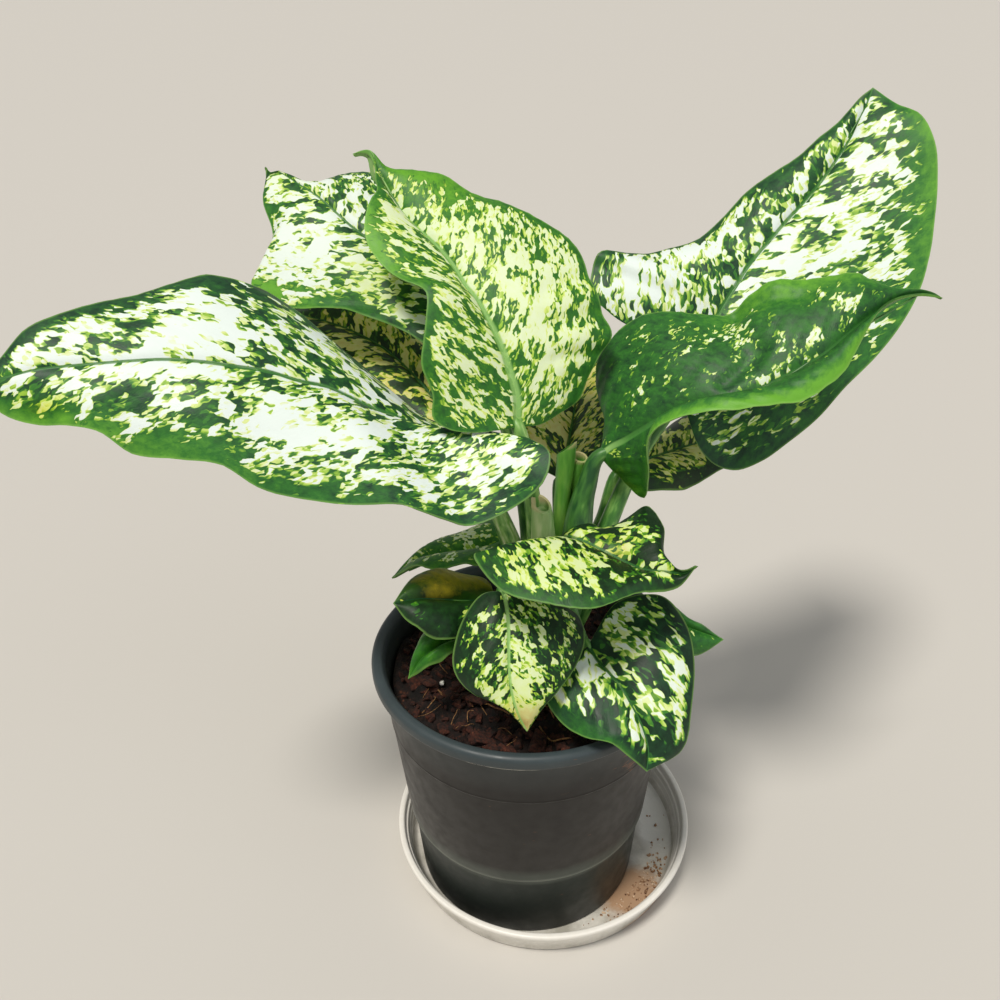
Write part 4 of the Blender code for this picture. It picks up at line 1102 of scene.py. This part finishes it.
leaf(
    "leaf_centre", **LARGE, cover=0.5, fresh=0.35, aged=0.22, pale=0.85, margin=(2.8, 3.2),
    rib=(5.0, 0.8), spacing=5.0, grain=1.25, stalk_pale=0.4,
    mid=[(-12, -20, 266), (-13, -19, 269), (-13, -18, 272), (-13, -16, 277), (-14, -14, 282),
        (-16, -11, 288), (-18, -8, 294), (-21, -4, 300), (-24, 0, 305), (-28, 5, 311),
        (-33, 10, 316), (-37, 16, 321), (-42, 22, 326), (-48, 29, 330), (-55, 36, 334),
        (-61, 42, 339), (-66, 48, 344), (-71, 53, 351), (-74, 59, 359), (-77, 60, 359),
        (-81, 61, 358)],
    left=[(-22, -27, 268), (-32, -30, 269), (-40, -31, 271), (-46, -30, 275), (-46, -27, 284),
        (-50, -24, 296), (-49, -19, 304), (-48, -14, 311), (-48, -7, 319), (-58, 0, 322),
        (-66, 7, 326), (-72, 14, 334), (-73, 22, 340), (-71, 30, 346), (-69, 36, 348),
        (-70, 43, 351), (-71, 51, 355), (-75, 58, 359), (-77, 59, 359)],
    right=[(-3, -16, 265), (5, -12, 268), (13, -8, 272), (17, -4, 280), (22, 0, 288), (27, 4, 295),
        (24, 9, 303), (21, 14, 311), (18, 21, 317), (15, 28, 323), (7, 34, 330), (-5, 38, 336),
        (-17, 44, 340), (-31, 50, 343), (-42, 54, 350), (-55, 56, 352), (-66, 57, 353),
        (-74, 60, 359), (-77, 61, 359)],
    stalk=[(2.5, -10.5, 142), (-0.5, -18, 162), (-4, -17, 203), (-8, -18, 240)],
    radii=[3, 3.7, 4, 3.4], thin=2.9,
    patches={"fresh": [(0.78, 0.7, 0.12, 0.4, 0.5), (0.6, -1.0, 0.1, 0.25, 0.6)],
        "cover": [(0.78, 0.7, 0.1, 0.35, -0.3), (0.41, 0.39, 0.12, 0.3, 0.2),
        (0.56, 0.24, 0.08, 0.15, 0.15)], "margin": [(0.6, -1.0, 0.1, 0.4, 0.8)]},
    creases=[(0.42, 0.5, 0.44, 1.0, 1.3, 3.0), (0.34, 0.5, 0.35, 1.0, 1.5, 3.0),
        (0.26, 0.5, 0.26, 1.0, 1.3, 3.0)],
)
# This leaf lies in the shade of the ones above, and its ageing value paints the warm tan of that
# shade.
leaf(
    "leaf_shade_left", cover=0.45, aged=0.6,
    mid=[(-38, 4, 254), (-43, 10, 257), (-54, 26, 265), (-78, 50, 277), (-99, 62, 282),
        (-122, 70, 285)],
    left=[(-46, -1, 250), (-64, 11, 256), (-92, 33, 267), (-107, 48, 275)],
    right=[(-33, 28, 256), (-47, 52, 271), (-69, 70, 284), (-95, 74, 289)],
    stalk=[(-1, -5, 142), (-9, -3.5, 162), (-20, 1, 206), (-30, 2, 234)],
    radii=[3, 3.6, 3.4, 2.8], thin=2.5,
)
leaf(
    "leaf_back_right", **LARGE, cover=0.48, fresh=0.12, pale=0.35, margin=(2.2, 4.5),
    rib=(3.6, 0.8), grain=0.85, stalk_pale=0.25,
    mid=[(62, 24, 260), (64, 27, 263), (67, 30, 267), (71, 34, 273), (74, 38, 279), (78, 42, 286),
        (82, 46, 292), (88, 52, 299), (94, 58, 306), (101, 64, 312), (108, 69, 318), (115, 74, 324),
        (123, 80, 330), (131, 86, 337), (138, 91, 345), (144, 95, 353), (149, 100, 362),
        (153, 104, 368), (156, 108, 374)],
    left=[(53, 31, 271), (44, 38, 282), (31, 44, 290), (22, 50, 299), (23, 55, 306), (26, 60, 313),
        (40, 67, 311), (56, 72, 310), (73, 78, 313), (86, 84, 321), (97, 88, 332), (110, 92, 340),
        (123, 96, 347), (132, 100, 354), (140, 102, 360), (145, 104, 365), (150, 106, 370)],
    right=[(65, 16, 249), (70, 10, 238), (77, 8, 231), (86, 8, 228), (98, 9, 232), (109, 12, 239),
        (123, 17, 249), (135, 22, 262), (148, 28, 273), (159, 35, 284), (168, 43, 297),
        (174, 53, 311), (177, 62, 325), (179, 72, 340), (178, 81, 355), (173, 91, 365),
        (165, 99, 368)],
    stalk=[(9, -6.5, 142), (17, -6.5, 162), (27, -5, 205), (43, 8, 238)],
    radii=[3, 3.7, 3.8, 3.2], thin=2.8,
    patches={"margin": [(0.75, 1.0, 0.25, 0.5, 0.8)], "cover": [(0.15, 0.8, 0.22, 0.5, -0.3),
        (0.51, 0.15, 0.08, 0.15, 0.4), (0.46, -0.61, 0.05, 0.25, 0.4),
        (0.29, -0.7, 0.05, 0.3, 0.25), (0.62, 0.44, 0.06, 0.15, 0.3),
        (0.66, -0.75, 0.03, 0.14, -0.5), (0.58, 0.25, 0.03, 0.05, -0.5),
        (0.71, 0.15, 0.03, 0.08, -0.4), (0.88, 0.07, 0.03, 0.06, 0.6),
        (0.88, -0.3, 0.03, 0.14, -0.6)], "fresh": [(0.8, 1.0, 0.3, 0.3, 0.5)]},
    creases=[(0.38, -0.35, 0.42, -1.0, 1.6, 4.0), (0.47, -0.35, 0.52, -1.0, 1.2, 3.5),
        (0.3, -0.4, 0.3, -1.0, 1.4, 4.0), (0.86, -0.1, 0.92, -0.15, 1.6, 2.5)],
)
leaf(
    "leaf_front_right", **LARGE, slot="green_leaf", cover=0.06, fresh=0.24, aged=0.1, pale=0.3,
    margin=(3.5, 5.0), rib=(3.6, 0.5), lean=(1.2, 0.006), grain=1.2, rounded=1.3, quilt=0.6,
    stalk_pale=-0.05,
    mid=[(22, -10, 247), (24, -11, 249), (27, -12, 252), (32, -14, 256), (36, -16, 260),
        (42, -19, 266), (49, -21, 272), (57, -23, 277), (65, -25, 280), (73, -26, 282),
        (82, -26, 284), (90, -25, 288), (98, -24, 292), (107, -22, 297), (115, -18, 302),
        (123, -13, 306), (131, -8, 309), (137, -4, 311), (151, 1, 312), (156, 2, 311),
        (160, 3, 309)],
    left=[(24, -4, 252), (25, 2, 258), (23, 9, 264), (22, 16, 271), (24, 21, 280), (30, 24, 287),
        (41, 23, 296), (54, 20, 299), (66, 16, 299), (76, 13, 300), (83, 12, 308), (92, 11, 315),
        (104, 9, 316), (114, 6, 318), (123, 3, 320), (130, 1, 317), (137, 0, 315), (151, 2, 313),
        (156, 3, 311)],
    right=[(26, -11, 242), (30, -12, 238), (35, -14, 233), (40, -16, 229), (41, -25, 244),
        (40, -34, 270), (49, -37, 277), (59, -40, 281), (71, -42, 283), (84, -42, 285),
        (95, -40, 285), (104, -36, 288), (112, -31, 292), (117, -26, 298), (123, -19, 305),
        (129, -12, 309), (136, -6, 311), (151, 0, 311), (156, 1, 310)],
    stalk=[(6.5, -10.5, 150), (10, -17.5, 170), (13, -13, 206), (17, -11, 232)],
    radii=[3.2, 4.6, 5.6, 4.4], thin=3.0,
    patches={"cover": [(0.55, -0.07, 0.06, 0.08, 0.55), (0.35, -0.07, 0.025, 0.06, 0.55),
        (0.64, -0.19, 0.03, 0.09, 0.5), (0.71, -0.44, 0.035, 0.09, 0.5),
        (0.74, -0.2, 0.04, 0.04, 0.45), (0.5, -0.55, 0.08, 0.25, 0.22),
        (0.3, -0.3, 0.05, 0.12, 0.2)], "pale": [(0.0, 0.0, 0.14, 1.0, 0.9)],
        "aged": [(0.13, 0.9, 0.08, 0.5, 0.5), (1.0, 0.0, 0.06, 1.0, 0.6)],
        "fresh": [(0.6, 1.0, 0.4, 0.35, 0.8), (0.65, -1.0, 0.2, 0.3, 0.5)]},
    creases=[(0.52, -0.89, 0.63, -0.74, 3.0, 4.0), (0.43, -0.11, 0.53, -0.34, 2.4, 3.0),
        (0.44, -0.6, 0.47, -0.75, 1.6, 4.0)],
)
# This leaf lies in the shade of the ones above, and its ageing value paints the warm tan of that
# shade.
leaf(
    "leaf_shade_right", cover=0.42, aged=0.5,
    mid=[(35, 12, 227), (45, 20, 227), (61, 32, 226), (81, 48, 223), (102, 64, 220),
        (124, 80, 217)],
    left=[(53, 45, 225), (71, 65, 226), (93, 85, 224), (113, 90, 224)],
    right=[(44, 8, 219), (61, 15, 214), (82, 30, 213), (101, 45, 216)],
    stalk=[(7.5, -2.5, 150), (14, 3, 170), (27, 7, 204)],
    radii=[3, 3.6, 3.4], thin=2.7,
)
# This leaf lies in the shade of the ones above, and its ageing value paints the warm tan of that
# shade.
leaf(
    "leaf_shade_back", cover=0.5, aged=0.6,
    mid=[(7, 10, 224), (9, 16, 225), (12, 32, 230), (16, 52, 236), (20, 75, 241), (23, 100, 249)],
    left=[(-3, 12, 229), (-13, 34, 232), (-12, 58, 239), (-1, 84, 245)],
    right=[(21, 14, 230), (34, 30, 235), (41, 52, 243), (39, 78, 251)],
    stalk=[(4.5, -1, 142), (5, 7, 162), (7, 9, 198)],
    radii=[3, 3.5, 3.2], thin=2.7,
)
leaf(
    "leaf_low_fold", cover=0.38, fresh=-0.15, aged=0.3, margin=(3.5, 4.0), spacing=5.0, grain=0.85,
    rounded=1.4,
    mid=[(3, -30, 218), (7, -33, 221), (14, -38, 222), (22, -44, 221), (30, -49, 219),
        (36, -54, 219), (45, -58, 220), (51, -61, 221), (56, -62, 225)],
    left=[(17, -28, 224), (25, -25, 220), (33, -22, 221), (42, -22, 228), (47, -35, 227),
        (46, -50, 221), (51, -60, 222)],
    right=[(-21, -55, 230), (-31, -62, 232), (-23, -70, 223), (-4, -76, 220), (13, -78, 216),
        (33, -70, 219), (50, -64, 217)],
    stalk=[(22, -24, 141), (16, -27, 160), (7, -29, 193)],
    radii=[3.0, 2.8, 2.4], thin=2.0,
    patches={"aged": [(0.42, -0.1, 0.12, 0.2, 0.25)], "fresh": [(0.5, 1.0, 0.4, 0.3, 0.4)],
        "cover": [(0.39, 0.44, 0.1, 0.2, 0.4), (0.2, 0.3, 0.08, 0.3, 0.2)]},
)
leaf(
    "leaf_low_back", size=(48, 15), cover=0.34, fresh=0.45, aged=0.15, pale=0.3, margin=(2.5, 2.5),
    rib=(1.8, 0.5), spacing=4.0, rounded=1.3,
    mid=[(-18, 9, 193), (-24, 9, 190), (-34, 8, 187), (-47, 7, 185), (-58, 6, 183), (-73, 4, 175)],
    left=[(-28, -8, 192), (-36, -12, 192), (-51, -12, 192), (-63, -4, 186)],
    right=[(-21, 24, 193), (-31, 32, 187), (-47, 28, 181), (-58, 18, 183)],
    stalk=[(0, -3, 124), (-7, 2, 142), (-15, 8, 170)],
    radii=[3.0, 2.8, 2.4], thin=2.0,
)
leaf(
    "leaf_low_yellow", **SMALL, slot="green_leaf", cover=0.0, fresh=-0.1, aged=0.3, pale=0.0,
    rib=(1.0, 0.3),
    mid=[(-25, -30, 187), (-28, -33, 189), (-38, -37, 192), (-48, -41, 196), (-57, -45, 199),
        (-66, -48, 199)],
    left=[(-31, -44, 184), (-41, -52, 182), (-51, -56, 188), (-59, -54, 193)],
    right=[(-25, -20, 187), (-34, -20, 193), (-47, -25, 200), (-57, -33, 203)],
    stalk=[(-27, -26, 146), (-26, -26, 160), (-23, -28, 177)],
    radii=[2.4, 2.2, 1.9], thin=1.7,
    patches={"aged": [(0.45, 0.75, 0.5, 0.6, 1.35), (0.62, 0.15, 0.16, 0.25, 0.8)],
        "fresh": [(0.45, 0.7, 0.5, 0.6, 1.2)], "cover": [(0.5, 0.7, 0.3, 0.3, 0.16)]},
)
leaf(
    "leaf_low_small", **SMALL, slot="green_leaf", cover=0.0, fresh=0.4, aged=0.35, pale=0.4,
    rib=(1.2, 0.4),
    mid=[(-36, -34, 174), (-40, -38, 173), (-48, -44, 173), (-55, -48, 170), (-62, -52, 161)],
    left=[(-38, -44, 171), (-45, -50, 171), (-53, -52, 167)],
    right=[(-42, -30, 175), (-52, -36, 176), (-58, -42, 172)],
    stalk=[(-29, -26, 134), (-33, -28, 147), (-34, -30, 160)],
    radii=[2.0, 1.8, 1.6], thin=1.4,
)
leaf(
    "leaf_low_middle", cover=0.38, fresh=-0.1, aged=0.25, pale=0.95, margin=(2.8, 3.4),
    rib=(2.6, 0.8), spacing=5.0, grain=1.2, rounded=1.3,
    mid=[(-20, -46, 203), (-19, -50, 201), (-18, -57, 196), (-18, -64, 189), (-18, -70, 181),
        (-17, -74, 171), (-15, -76, 163), (-11, -76, 152)],
    left=[(-2, -42, 195), (13, -44, 187), (14, -52, 181), (10, -62, 174), (2, -70, 169),
        (-3, -74, 165)],
    right=[(-28, -46, 202), (-35, -50, 196), (-40, -58, 187), (-41, -66, 178), (-32, -71, 168),
        (-21, -75, 165)],
    stalk=[(-26, -28, 136), (-24, -35, 154), (-23, -41, 182)],
    radii=[2.6, 2.4, 2.2], thin=1.9,
    patches={"aged": [(1.0, 0.0, 0.2, 1.0, 0.6)], "cover": [(1.0, 0.0, 0.19, 1.0, 1.2),
        (0.6, 0.0, 0.4, 0.3, 0.15)], "margin": [(1.0, 0.0, 0.21, 1.0, -0.95)]},
)
leaf(
    "leaf_low_right", cover=0.42, fresh=-0.1, aged=0.05, margin=(3.0, 3.5), rib=(2.0, 0.5),
    lean=(1.9, 0.01), spacing=5.0, grain=0.75,
    mid=[(17, -42, 170), (20, -48, 167), (24, -56, 167), (29, -64, 165), (33, -71, 161),
        (37, -78, 155), (39, -83, 148), (38, -88, 140)],
    left=[(32, -28, 183), (49, -32, 189), (59, -44, 181), (61, -58, 169), (58, -70, 157),
        (54, -80, 144)],
    right=[(9, -50, 167), (-2, -62, 156), (3, -70, 152), (13, -78, 150), (24, -84, 152),
        (32, -87, 146)],
    stalk=[(22, -26, 136), (19, -33, 148)],
    radii=[2.6, 2.3], thin=2.0,
    patches={"fresh": [(0.6, 1.0, 0.4, 0.3, 0.4)]},
)
leaf(
    "leaf_low_tip", **SMALL, slot="green_leaf", cover=0.15, fresh=0.3, aged=0.1, pale=0.4,
    rib=(1.2, 0.4),
    mid=[(44, -12, 165), (51, -14, 164), (60, -16, 161), (71, -18, 157), (83, -20, 153)],
    left=[(54, -6, 166), (66, -10, 160), (74, -14, 157)],
    right=[(47, -24, 160), (58, -26, 152), (70, -24, 147)],
    stalk=[(25, -22, 134), (32, -19, 146), (38, -15, 158)],
    radii=[2.0, 1.8, 1.6], thin=1.4,
)
